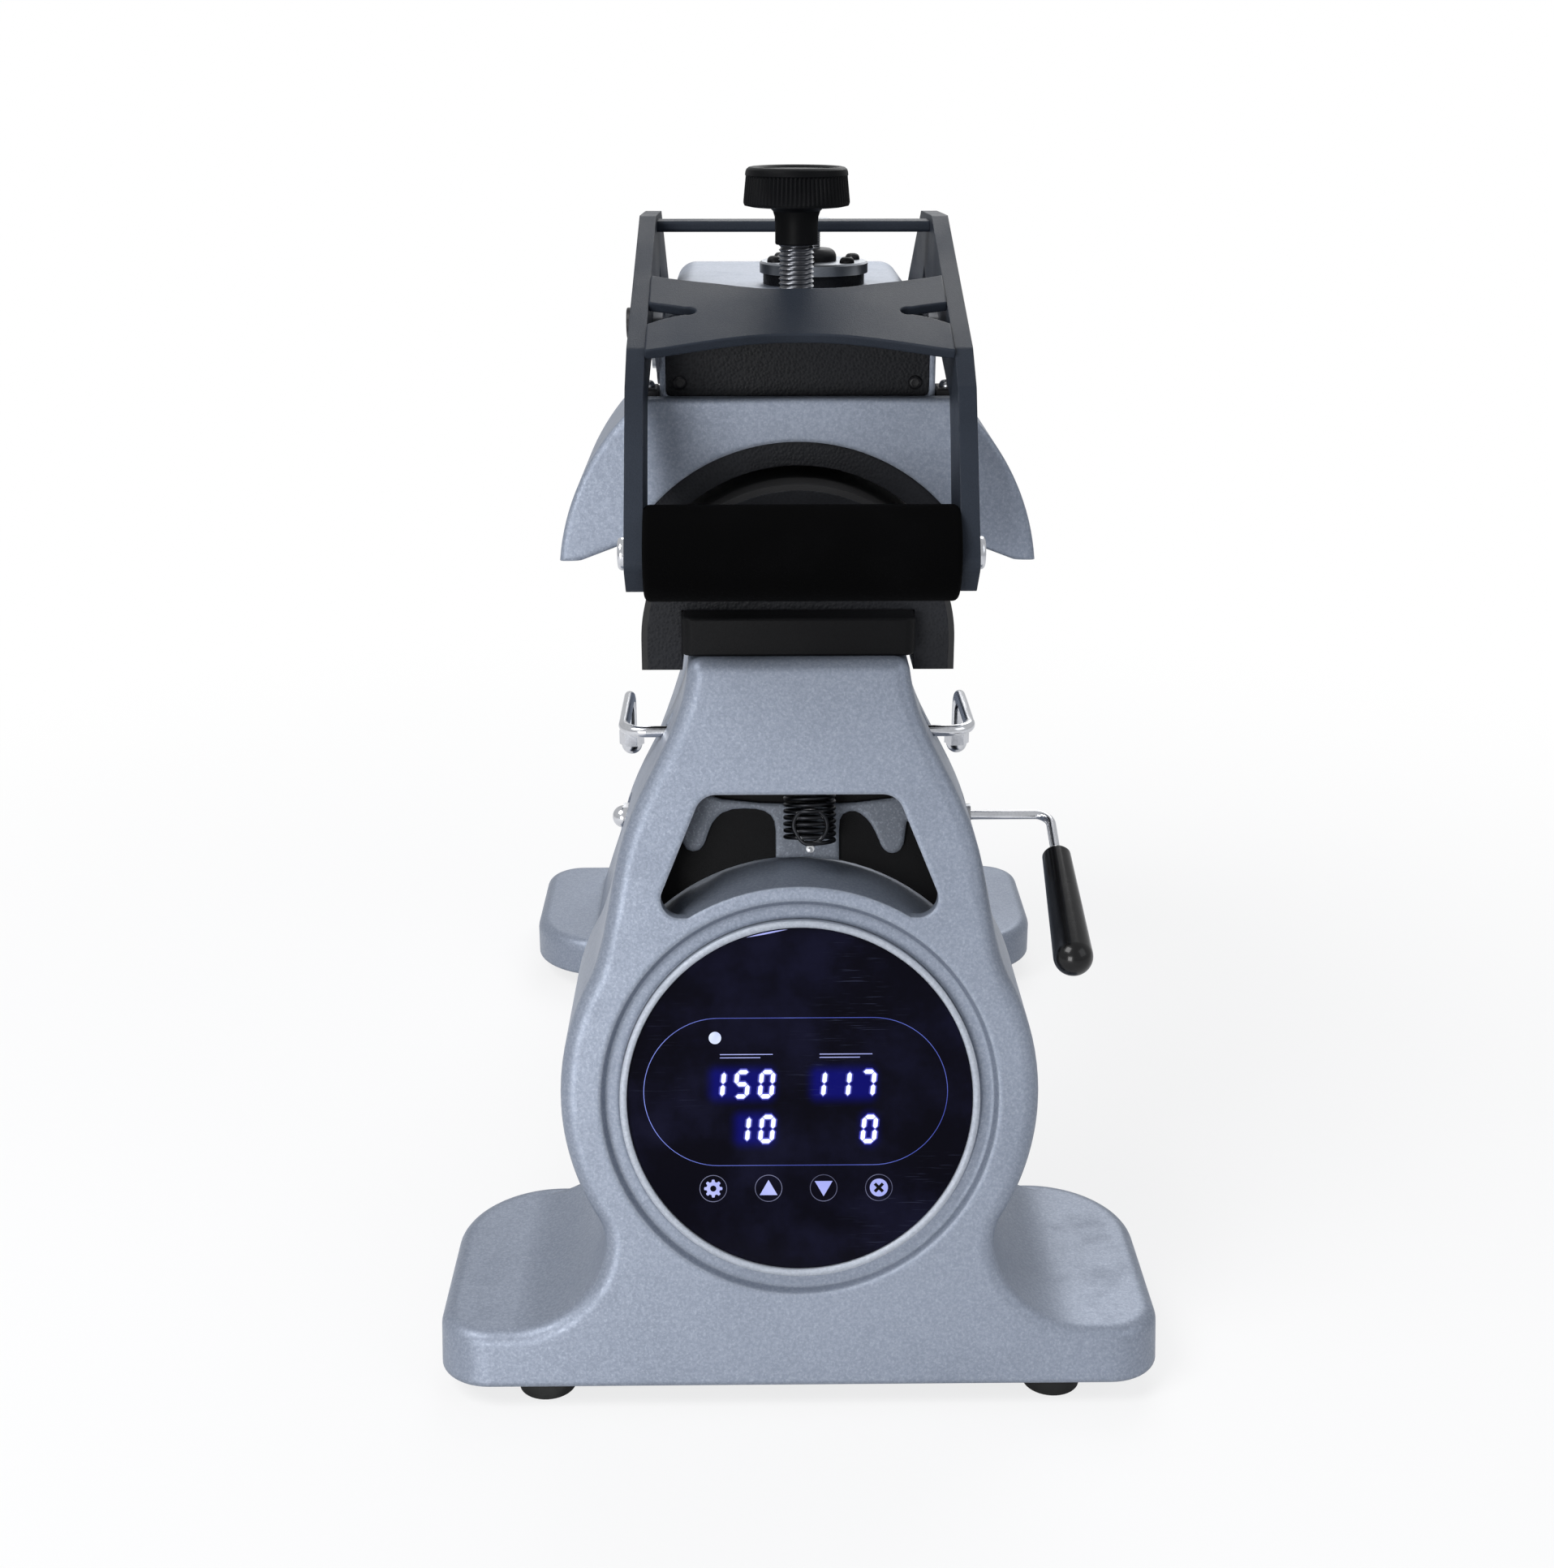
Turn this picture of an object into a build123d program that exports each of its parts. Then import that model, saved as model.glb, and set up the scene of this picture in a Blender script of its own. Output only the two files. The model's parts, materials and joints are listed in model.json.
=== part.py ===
"""Cap heat press: a C-frame press with a curved lower platen and a lifting upper head.

Millimetres.  +X is the operator's right, +Y runs from the front to the back, +Z is up.
The origin is on the bench, under the middle of the press.
"""
import os
from math import atan2, cos, degrees, radians, sin, sqrt, tan

from build123d import *

os.makedirs("parts", exist_ok=True)

# ---------------------------------------------------------------- driving dimensions
# base
base_width = 380.0
base_depth = 664.0
rubber_height = 14.0
rubber_radius = 16.5
rubber_inset = 23.0
foot_inset_x = 56.0
foot_boss_radius = 20.0
foot_thickness = 27.0
foot_length = 158.0
foot_front_radius = 28.0
foot_back_radius = 55.0
foot_edge_radius = 8.0
casting_wall = 6.0
beam_half_width = 80.0
beam_height = 46.0
beam_wall = 5.0
bottom_plate_thickness = 2.0
screw_radius = 4.0

# front pedestal, drawn in its leaning face
lean_angle = 15.0
belly_radius = 124.0
display_height = 151.0
neck_top_height = 377.0
neck_half_width = 56.0
root_half_width = 150.0
pedestal_depth = 146.0
window_top_height = 308.5
window_bottom_height = 245.0
window_top_half = 50.0
window_bottom_half = 76.0
window_top_radius = 11.0
window_bottom_radius = 10.0
drum_outer_radius = 110.0
drum_wall = 6.0
drum_depth = 52.0
back_cover_thickness = 2.0

# display
glass_radius = 89.0
glass_thickness = 3.5
glass_gap = 0.3
bezel_lip = 4.0
bezel_proud = 1.5
bezel_flange_radius = 100.0
bezel_flange_thickness = 3.0
bezel_bore_radius = 84.0
groove_outer_radius = 103.0
groove_depth = 5.0
collar_depth = 12.0
board_radius = 96.0
board_thickness = 1.6
housing_radius = 99.0
housing_wall = 2.0
housing_depth = 28.0
digit_width = 37.6
digit_height = 19.0
digit_depth = 7.5
digit_row_gap = 25.0
digit_column_gap = 50.0

# spring bracket behind the window
bracket_setback = 36.0
bracket_thickness = 3.0
bracket_top_height = 318.0
bracket_bottom_height = 240.0
bracket_half_width = 62.0
post_half_width = 14.5
spring_x = 8.5
finger_inner = 46.0
arch_top_height = 283.0
liner_thickness = 1.5
liner_half_width = 66.0
spring_setback = 21.0
spring_radius = 12.0
spring_wire = 1.1
spring_turns = 9
spring_pitch = 3.4
spring_base_height = 293.0

# lower platen
platen_front = 122.0
platen_length = 114.0
platen_radius = 78.0
pad_thickness = 3.0
platen_axis_height = 382.0
platen_skirt = 16.0
platen_slot_half = 60.0
platen_slot_top = 20.0
platen_bracket_half = 46.0
platen_bracket_front = 104.0
platen_screw_radius = 5.0

# upper head
cap_gap = 7.0
heater_thickness = 12.0
head_front = 134.5
head_length = 104.0
head_bottom_height = 421.0
head_axis_height = 408.5
head_radius = 123.5
head_rim_height = 504.0
head_rim_depth = 9.0
head_top_height = 494.0
head_lip = 11.0
head_wall = 6.0
socket_radius = 17.0
socket_height = 16.0
guide_width = 12.0
guide_length = 20.0
guide_height = 12.5
guide_setback = 160.0

# arm
arm_front = 152.0
arm_half_width = 70.3
arm_top_height = 544.0
arm_wall = 6.0
arm_edge_radius = 12.0
arm_cheek_height = 465.0
arm_nose_clearance = 5.5
arm_tail_radius = 52.0
arm_step_setback = 252.0
pivot_setback = 440.0
pivot_height = 492.0
front_plate_thickness = 3.0
front_plate_rim = 3.0

# pressure screw
stud_radius = 9.5
stud_x = 0.0
knob_bottom_height = 593.0
knob_height = 21.0
knob_radius = 27.3
knob_top_radius = 25.6
knob_hub_radius = 12.7
knob_hub_height = 18.0
knob_grooves = 48
running_gap = 0.05

# lever yoke
yoke_inner = 75.0
yoke_thickness = 9.0
grip_setback = 56.0
grip_height = 443.0
grip_radius = 23.0
yoke_end_radius = 18.0
bar_setback = 272.0
bar_height = 583.5
bar_thickness = 6.0
bar_depth = 20.0
cross_thickness = 5.0
yoke_corner = 7.0
pin_radius = 10.0
pin_gap = 0.05
eye_radius = 25.0

# keeper and magnet
keeper_x = 12.5
keeper_setback = 305.0
keeper_radius = 31.0
keeper_base_radius = 29.0
keeper_thickness = 6.3
keeper_base_height = 6.3
keeper_rod_radius = 3.8
keeper_top_height = 577.0
magnet_radius = 28.0
magnet_height = 36.0
magnet_top_height = 468.0
armature_thickness = 10.0
seat_gap = 0.3

# tower
tongue_half_width = 52.0
tongue_radius = 32.0
bush_outer_radius = 14.0
bush_flange = 2.0
tower_wall = 7.0

# cap tension crank
shaft_setback = 130.0
shaft_height = 282.0
shaft_radius = 4.0
crank_x = 136.0
crank_bend_radius = 8.0
crank_rod_radius = 2.6
crank_tilt = 22.0
crank_reach = 103.0
crank_grip_length = 84.0
crank_grip_radius = 10.0
crank_grip_neck = 7.5
cam_base_radius = 7.0
cam_lift = 8.0
crank_travel = 80.0
cam_thickness = 10.0
bail_wire = 3.0
bail_height = 331.0
bail_setback = 126.0
bail_half_width = 92.0
bail_reach = 200.0
bail_drop = 300.0

# ---------------------------------------------------------------- derived places
front_y = -base_depth / 2
plate_top = rubber_height + foot_thickness
lean = radians(lean_angle)
pedestal_height = neck_top_height * cos(lean)
face_plane = Plane(
    origin=(0, front_y, rubber_height),
    x_dir=(1, 0, 0),
    z_dir=(0, -cos(lean), sin(lean)),
)


def y_at(setback):
    """Y of a place given as its distance behind the front edge of the base."""
    return front_y + setback


def side_point(setback, height):
    """A point of a side profile drawn on Plane.YZ."""
    return (y_at(setback), height)


def arm_side(x):
    """Plane across the press at a given X, for pieces drawn from the side."""
    return Plane.YZ.offset(x)


def face_setback(height):
    """Setback of the pedestal's leaning face at a height above the bench."""
    return (height - rubber_height) * tan(lean)


def write(piece, name):
    """Label one finished piece and write its STEP file."""
    piece.part.label = name
    export_step(piece.part, f"parts/{name}.step")


def foot_plan(setback):
    """Plan of a cast foot: small corners in front, large ones behind."""
    with BuildSketch(Plane.XY.offset(rubber_height)) as plan:
        with Locations((0, y_at(setback) + foot_length / 2)):
            Rectangle(base_width, foot_length)
        corners = plan.vertices().group_by(Axis.Y)
        fillet(corners[0], foot_front_radius)
        corners = plan.vertices().group_by(Axis.Y)
        fillet(corners[-1], foot_back_radius)
    return plan.sketch


# ---------------------------------------------------------------- front pedestal
belly_low = radians(-32)
belly_high = radians(28)
belly_low_point = (belly_radius * cos(belly_low), display_height + belly_radius * sin(belly_low))
belly_high_point = (belly_radius * cos(belly_high), display_height + belly_radius * sin(belly_high))
plate_slope_height = foot_thickness / cos(lean)
cavity_floor = plate_slope_height + 3
cavity_half = 103.0
pedestal_back = Plane.XZ.offset(-y_at(pedestal_depth))
display_plane = Plane(
    origin=face_plane.from_local_coords((0, display_height, 0)),
    x_dir=(1, 0, 0),
    z_dir=face_plane.z_dir,
)

with BuildSketch(Plane.XY, mode=Mode.PRIVATE) as pedestal_outline:
    with BuildLine():
        base = Line((0, 0), (root_half_width, 0))
        Line(base @ 1, (root_half_width, plate_slope_height))
        Spline(
            (root_half_width, plate_slope_height),
            belly_low_point,
            tangents=[(-1, 0), (-sin(belly_low), cos(belly_low))],
        )
        CenterArc((0, display_height), belly_radius, -32, 60)
        Spline(
            belly_high_point,
            (neck_half_width + 34, neck_top_height - 91),
            (neck_half_width + 9, neck_top_height - 37),
            (neck_half_width, neck_top_height),
            tangents=[(-sin(belly_high), cos(belly_high)), (-0.1, 1)],
        )
        Line((neck_half_width, neck_top_height), (0, neck_top_height))
        mirror(about=Plane.YZ)
    make_face()
    fillet(pedestal_outline.vertices().group_by(Axis.Y)[-1], foot_edge_radius)

with BuildSketch(Plane.XY, mode=Mode.PRIVATE) as window_outline:
    with BuildLine():
        Polyline(
            (-window_top_half, window_top_height),
            (window_top_half, window_top_height),
            (window_bottom_half, window_bottom_height),
            (-window_bottom_half, window_bottom_height),
            close=True,
        )
    make_face()
    fillet(window_outline.vertices().group_by(Axis.Y)[-1], window_top_radius)
    with Locations((0, display_height)):
        Circle(drum_outer_radius, mode=Mode.SUBTRACT)
    fillet(window_outline.vertices().sort_by(Axis.X)[0], window_bottom_radius)
    fillet(window_outline.vertices().sort_by(Axis.X)[-1], window_bottom_radius)


def foot_slab(front, depth, front_radius, back_radius, lean_run):
    """A cast foot: a slab with rounded corners whose front may lean back with height."""
    with BuildPart() as slab:
        for height, run in ((rubber_height, 0), (plate_top, lean_run)):
            with BuildSketch(Plane.XY.offset(height)) as plan:
                with Locations((0, y_at(front) + (depth + run) / 2)):
                    Rectangle(base_width, depth - run)
                fillet(plan.vertices().group_by(Axis.Y)[0], front_radius)
                fillet(plan.vertices().group_by(Axis.Y)[-1], back_radius)
        loft()
        fillet(slab.faces().sort_by(Axis.Z)[-1].edges(), foot_edge_radius)
    return slab.part


def foot_recess(front, depth, corner, boss_setback):
    """The hollow under a cast foot, leaving a drilled boss over each rubber foot."""
    with BuildPart() as hollow:
        with BuildSketch(Plane.XY.offset(rubber_height)) as recess:
            with Locations((0, y_at(front) + depth / 2)):
                Rectangle(base_width - 4 * casting_wall, depth - 4 * casting_wall)
            fillet(recess.vertices(), corner)
            with Locations((0, y_at(boss_setback))):
                with GridLocations(base_width - 2 * foot_inset_x, 1, 2, 1):
                    Circle(foot_boss_radius, mode=Mode.SUBTRACT)
        extrude(amount=foot_thickness - casting_wall)
        with BuildSketch(Plane.XY.offset(rubber_height)):
            with Locations((0, y_at(boss_setback))):
                with GridLocations(base_width - 2 * foot_inset_x, 1, 2, 1):
                    Circle(screw_radius / 2 + 0.5)
        extrude(amount=12)
    return hollow.part


front_slab = foot_slab(0, foot_length, foot_front_radius, foot_back_radius, face_setback(plate_top))

with BuildPart() as pedestal_shell:
    with BuildSketch(face_plane):
        add(pedestal_outline.sketch_local)
    extrude(amount=pedestal_depth + foot_edge_radius, dir=(0, 1, 0))
    split(bisect_by=pedestal_back, keep=Keep.TOP)
    leaning = pedestal_shell.faces().filter_by(
        lambda f: f.normal_at().dot(face_plane.z_dir) > 0.999
    )
    fillet(
        [e for e in leaning[0].edges() if e.center().Z > plate_top + 1],
        foot_edge_radius,
    )
    add(front_slab)

inner_radius = belly_radius - casting_wall
inner_low = (inner_radius * cos(belly_low), display_height + inner_radius * sin(belly_low))
inner_high = (inner_radius * cos(belly_high), display_height + inner_radius * sin(belly_high))
inner_top = neck_top_height - casting_wall
with BuildPart() as pedestal_cavity:
    with BuildSketch(face_plane.offset(-casting_wall)):
        with BuildLine():
            Line((0, cavity_floor), (cavity_half, cavity_floor))
            Spline(
                (cavity_half, cavity_floor),
                inner_low,
                tangents=[(-0.3, 1), (-sin(belly_low), cos(belly_low))],
            )
            CenterArc((0, display_height), inner_radius, -32, 60)
            Spline(
                inner_high,
                (neck_half_width + 34 - casting_wall, inner_top - 85),
                (neck_half_width + 9 - casting_wall, inner_top - 33),
                (neck_half_width - casting_wall, inner_top),
                tangents=[(-sin(belly_high), cos(belly_high)), (-0.1, 1)],
            )
            Line((neck_half_width - casting_wall, inner_top), (0, inner_top))
            mirror(about=Plane.YZ)
        make_face()
    extrude(amount=pedestal_depth * 2, dir=(0, 1, 0))

# the shaft crosses the neck in two bosses with flat outer faces
boss_inner = 72.0
boss_outer = 85.5
boss_radius = 12.0
shaft_plane = Plane(origin=(0, y_at(shaft_setback), shaft_height), x_dir=(0, 1, 0), z_dir=(1, 0, 0))
bracket_plane = face_plane.offset(-bracket_setback)
bracket_pad_x = 65.5
bracket_pad_radius = 5.5


def slope_height(height, depth):
    """Height up the face for a point at a height above the bench and a depth behind the face."""
    return (height - rubber_height + depth * sin(lean)) / cos(lean)


def depth_rise(depth):
    """How far a horizontal bore has climbed up the face at a depth behind it."""
    return depth * tan(lean)


bracket_pad_height = slope_height(302, bracket_setback)
neck_top = rubber_height + neck_top_height * cos(lean)
guide_x = 22.0
guide_setback_y = 118.0
guide_radius = 4.0
guide_boss = 12.0
slot_clearance = 0.9
clamp_travel = 7.1

with BuildPart() as front_pedestal:
    add(pedestal_shell.part)
    add(pedestal_cavity.part, mode=Mode.SUBTRACT)
    add(
        foot_recess(0, foot_length, foot_front_radius + casting_wall, rubber_inset),
        mode=Mode.SUBTRACT,
    )
    with BuildSketch(face_plane.offset(-casting_wall / 2)):
        with Locations((0, display_height + depth_rise(casting_wall / 2))):
            Circle(drum_outer_radius)
            Circle(drum_outer_radius - drum_wall, mode=Mode.SUBTRACT)
    extrude(amount=drum_depth, dir=(0, 1, 0))
    with BuildSketch(display_plane.offset(-collar_depth)):
        Circle(drum_outer_radius - 2)
    extrude(amount=collar_depth - 1)
    with BuildSketch(display_plane.offset(-collar_depth)):
        Circle(glass_radius + bezel_lip + glass_gap)
    extrude(amount=collar_depth * 2, mode=Mode.SUBTRACT)
    with Locations(display_plane.offset(-groove_depth).location):
        Cone(
            groove_outer_radius - groove_depth / 2,
            groove_outer_radius + 0.01,
            groove_depth + 0.01,
            align=(Align.CENTER, Align.CENTER, Align.MIN),
            mode=Mode.SUBTRACT,
        )
    with BuildSketch(face_plane):
        add(window_outline.sketch_local)
    extrude(amount=casting_wall * 1.3, dir=(0, 1, 0), mode=Mode.SUBTRACT)
    with BuildSketch(bracket_plane):
        with Locations(
            (-bracket_pad_x, bracket_pad_height),
            (bracket_pad_x, bracket_pad_height),
        ):
            Circle(bracket_pad_radius)
    extrude(amount=bracket_setback - casting_wall + 1)
    for side in (-1, 1):
        with BuildSketch(shaft_plane.offset(side * boss_inner)):
            Circle(boss_radius)
        extrude(amount=side * (boss_outer - boss_inner))
        with BuildSketch(shaft_plane.offset(side * boss_outer)):
            Circle(boss_radius + 1)
        extrude(amount=side * 20, mode=Mode.SUBTRACT)
        with BuildSketch(shaft_plane.offset(side * (boss_inner - 1))):
            Circle(shaft_radius + 2.5)
        extrude(amount=side * 20, mode=Mode.SUBTRACT)
        with BuildSketch(arm_side(side * neck_half_width * 0.7)):
            with Locations(side_point(bail_setback, bail_height + clamp_travel / 2)):
                Rectangle(
                    2 * (bail_wire + slot_clearance),
                    2 * (bail_wire + slot_clearance) + clamp_travel,
                )
        extrude(amount=side * 60, mode=Mode.SUBTRACT)
    with BuildSketch(Plane.XY.offset(neck_top - casting_wall + 1)):
        with Locations((-guide_x, y_at(guide_setback_y)), (guide_x, y_at(guide_setback_y))):
            Circle(guide_radius + 4)
    extrude(amount=-guide_boss)
    with BuildSketch(Plane.XY.offset(neck_top - casting_wall + 1 - guide_boss)):
        with Locations((-guide_x, y_at(guide_setback_y)), (guide_x, y_at(guide_setback_y))):
            Circle(guide_radius)
    extrude(amount=guide_boss - 3, mode=Mode.SUBTRACT)
write(front_pedestal, "front_pedestal")


# ---------------------------------------------------------------- display
with BuildPart() as bezel_ring:
    with BuildSketch(display_plane.offset(-collar_depth)):
        Circle(bezel_flange_radius - 3)
        Circle(bezel_bore_radius, mode=Mode.SUBTRACT)
    extrude(amount=-bezel_flange_thickness)
    with BuildSketch(display_plane.offset(-collar_depth - 1)):
        Circle(glass_radius + bezel_lip)
        Circle(bezel_bore_radius, mode=Mode.SUBTRACT)
    extrude(amount=collar_depth + bezel_proud + 1)
    with BuildSketch(display_plane.offset(-glass_thickness - 0.5)):
        Circle(glass_radius + glass_gap)
    extrude(amount=20, mode=Mode.SUBTRACT)
    fillet(
        bezel_ring.edges().group_by(Axis(display_plane.origin, display_plane.z_dir))[-1],
        bezel_proud / 3,
    )
write(bezel_ring, "bezel_ring")

with BuildPart() as display_glass:
    with BuildSketch(display_plane.offset(-glass_thickness - 0.5)):
        Circle(glass_radius)
    extrude(amount=glass_thickness)
write(display_glass, "display_glass")

board_depth = collar_depth + bezel_flange_thickness
with BuildPart() as control_board:
    with BuildSketch(display_plane.offset(-board_depth)):
        Circle(board_radius - 4)
    extrude(amount=-board_thickness)
write(control_board, "control_board")

with BuildPart() as digit_modules:
    with BuildSketch(display_plane.offset(-board_depth)):
        with GridLocations(digit_column_gap, digit_row_gap, 2, 2):
            Rectangle(digit_width, digit_height)
        with Locations((0, -digit_row_gap * 1.7)):
            Rectangle(digit_column_gap * 2, digit_height)
    extrude(amount=digit_depth)
write(digit_modules, "digit_modules")

with BuildPart() as control_housing:
    with BuildSketch(display_plane.offset(-board_depth - board_thickness)):
        Circle(board_radius - 5)
    extrude(amount=-housing_depth)
    with BuildSketch(display_plane.offset(-board_depth - board_thickness)):
        Circle(board_radius - 5 - housing_wall)
    extrude(amount=-housing_depth + housing_wall, mode=Mode.SUBTRACT)
    fillet(
        control_housing.edges().group_by(Axis(display_plane.origin, display_plane.z_dir))[0],
        housing_wall,
    )
write(control_housing, "control_housing")

# ---------------------------------------------------------------- spring bracket and panel
hook_height = slope_height(274, spring_setback)
bracket_rise = display_height + depth_rise(bracket_setback)
bracket_top = slope_height(bracket_top_height - 8, bracket_setback)
arch_top = slope_height(arch_top_height, bracket_setback)
finger_bottom = slope_height(258, bracket_setback)
with BuildPart() as pedestal_bracket:
    with BuildSketch(bracket_plane) as bracket_face:
        with Locations((0, bracket_top)):
            Rectangle(2 * (bracket_pad_x + bracket_pad_radius), 22, align=(Align.CENTER, Align.MAX))
        with Locations((0, bracket_top)):
            Rectangle(
                2 * bracket_half_width,
                bracket_top - finger_bottom,
                align=(Align.CENTER, Align.MAX),
            )
        with Locations((-finger_inner, finger_bottom)):
            Rectangle(
                finger_inner + spring_x - post_half_width,
                arch_top - finger_bottom,
                align=(Align.MIN, Align.MIN),
                mode=Mode.SUBTRACT,
            )
        with Locations((finger_inner, finger_bottom)):
            Rectangle(
                finger_inner - spring_x - post_half_width,
                arch_top - finger_bottom,
                align=(Align.MAX, Align.MIN),
                mode=Mode.SUBTRACT,
            )
        inner = [
            v
            for v in bracket_face.vertices()
            if abs(v.Y - arch_top) < 0.1 and abs(v.X) < finger_inner + 1
        ]
        fillet(inner, 9)
        with Locations((spring_x, finger_bottom + 2)):
            Rectangle(2 * post_half_width, 26, align=(Align.CENTER, Align.MAX))
        with Locations((0, bracket_rise)):
            Circle(drum_outer_radius + glass_gap + depth_rise(bracket_thickness), mode=Mode.SUBTRACT)
    extrude(amount=-bracket_thickness)
    with BuildSketch(bracket_plane):
        with Locations(
            (-bracket_pad_x, bracket_pad_height),
            (bracket_pad_x, bracket_pad_height),
        ):
            Circle(2.1)
        with Locations((spring_x, hook_height)):
            Circle(3)
    extrude(amount=-bracket_thickness, mode=Mode.SUBTRACT)
write(pedestal_bracket, "pedestal_bracket")

liner_plane = bracket_plane.offset(-bracket_thickness)
liner_rise = display_height + depth_rise(bracket_setback + bracket_thickness)
with BuildPart() as pedestal_liner:
    with BuildSketch(liner_plane):
        with Locations((0, bracket_top - 1)):
            Rectangle(
                2 * (bracket_pad_x - bracket_pad_radius),
                bracket_top - finger_bottom + 8,
                align=(Align.CENTER, Align.MAX),
            )
        with Locations((0, liner_rise)):
            Circle(drum_outer_radius + glass_gap + depth_rise(liner_thickness), mode=Mode.SUBTRACT)
    extrude(amount=-liner_thickness)
    with BuildSketch(liner_plane):
        with Locations((spring_x, hook_height)):
            Circle(5)
    extrude(amount=-liner_thickness, mode=Mode.SUBTRACT)
write(pedestal_liner, "pedestal_liner")

with BuildPart() as spring_hook_pin:
    with BuildSketch(bracket_plane.offset(bracket_setback - spring_setback + 6)):
        with Locations((spring_x, hook_height)):
            Circle(3)
    extrude(amount=-(bracket_setback - spring_setback + 6 + bracket_thickness))
    with BuildSketch(bracket_plane.offset(bracket_setback - spring_setback + 4)):
        with Locations((spring_x, hook_height)):
            Circle(4.6)
    extrude(amount=3)
write(spring_hook_pin, "spring_hook_pin")


def arc_points(centre_height, radius, start, end, count):
    """Points of a hook loop standing in the plane that holds the spring's axis."""
    return [
        (
            radius * cos(radians(start + (end - start) * k / count)),
            0,
            centre_height + radius * sin(radians(start + (end - start) * k / count)),
        )
        for k in range(count + 1)
    ]


def coil_run(turns, pitch, radius, sides):
    """Points of a coil about Z, drawn with short straight runs."""
    return [
        (
            radius * cos(radians(360 * k / sides)),
            radius * sin(radians(360 * k / sides)),
            pitch * k / sides,
        )
        for k in range(turns * sides + 1)
    ]


def wire_along(plane, points, radius, sides):
    """A bent wire through points given in a plane's own frame."""
    path_points = [plane.from_local_coords(p) for p in points]
    with BuildPart() as wire:
        with BuildLine() as path:
            Polyline(*path_points)
        with BuildSketch(Plane(origin=path.line @ 0, z_dir=path.line % 0)):
            RegularPolygon(radius, sides)
        sweep(transition=Transition.RIGHT)
    return wire.part


spring_plane = Plane(
    origin=face_plane.offset(-spring_setback).from_local_coords(
        (spring_x, slope_height(spring_base_height, spring_setback), 0)
    ),
    x_dir=(1, 0, 0),
    z_dir=(0, sin(lean), cos(lean)),
)
coil_length = spring_turns * spring_pitch
top_loop_radius = 7.0
top_loop_height = coil_length + top_loop_radius + 1
spring_path = (
    arc_points(-spring_radius, spring_radius, -250, 0, 12)
    + coil_run(spring_turns, spring_pitch, spring_radius, 10)
    + arc_points(top_loop_height, top_loop_radius, 0, 230, 9)
)
with BuildPart() as tension_spring:
    add(wire_along(spring_plane, spring_path, spring_wire, 5))
write(tension_spring, "tension_spring")
lug_height = (
    spring_base_height
    + (top_loop_height + top_loop_radius - spring_wire - 2.8) * cos(lean)
)

# ---------------------------------------------------------------- cap tension crank
with BuildPart() as shaft_bushes:
    for side in (-1, 1):
        with BuildSketch(shaft_plane.offset(side * boss_inner)):
            Circle(shaft_radius + 2.5)
            Circle(shaft_radius + running_gap, mode=Mode.SUBTRACT)
        extrude(amount=side * (boss_outer - boss_inner + 1.2))
        with BuildSketch(shaft_plane.offset(side * boss_outer)):
            Circle(shaft_radius + 5)
            Circle(shaft_radius + running_gap, mode=Mode.SUBTRACT)
        extrude(amount=side * 1.2)
write(shaft_bushes, "shaft_bushes")

shaft_end = boss_outer + 1.5
with BuildPart() as crank_shaft:
    with BuildSketch(shaft_plane.offset(-shaft_end - 8)):
        Circle(shaft_radius)
    extrude(amount=2 * shaft_end + 8)
    with BuildSketch(shaft_plane.offset(shaft_end)):
        Circle(shaft_radius + 2)
    extrude(amount=6)
    with BuildSketch(shaft_plane.offset(shaft_end + 1)):
        Circle(crank_rod_radius)
    extrude(amount=6, mode=Mode.SUBTRACT)
write(crank_shaft, "crank_shaft")

with BuildPart() as shaft_dome_nut:
    with BuildSketch(shaft_plane.offset(-shaft_end)):
        Circle(8)
    extrude(amount=-1)
    with BuildSketch(shaft_plane.offset(-shaft_end - 1)):
        RegularPolygon(7.4, 6)
    extrude(amount=-5)
    with Locations(shaft_plane.offset(-shaft_end - 6).location):
        Sphere(6)
    with BuildSketch(shaft_plane.offset(-shaft_end)):
        Circle(shaft_radius)
    extrude(amount=-8, mode=Mode.SUBTRACT)
    with BuildSketch(shaft_plane.offset(-shaft_end)):
        Rectangle(40, 40)
    extrude(amount=20, mode=Mode.SUBTRACT)
write(shaft_dome_nut, "shaft_dome_nut")

cam_throw = 5.5
cam_radius = 11.0
cam_phase = radians(crank_travel / 2)
with BuildPart() as crank_cam:
    with BuildSketch(shaft_plane.offset(-cam_thickness / 2)):
        with Locations((cam_throw * cos(cam_phase), -cam_throw * sin(cam_phase))):
            Circle(cam_radius)
        Circle(shaft_radius, mode=Mode.SUBTRACT)
    extrude(amount=cam_thickness)
write(crank_cam, "crank_cam")

tilt = radians(crank_tilt)
crank_direction = Vector(0, -cos(tilt), -sin(tilt))
crank_corner = Vector(crank_x, y_at(shaft_setback), shaft_height)
with BuildPart() as crank_rod:
    with BuildLine() as rod_line:
        FilletPolyline(
            (shaft_end + 1, y_at(shaft_setback), shaft_height),
            tuple(crank_corner),
            tuple(crank_corner + crank_direction * (crank_reach + 8)),
            radius=crank_bend_radius,
        )
    with BuildSketch(Plane(origin=rod_line.line @ 0, z_dir=(1, 0, 0))):
        Circle(crank_rod_radius)
    sweep()
write(crank_rod, "crank_rod")

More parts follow.
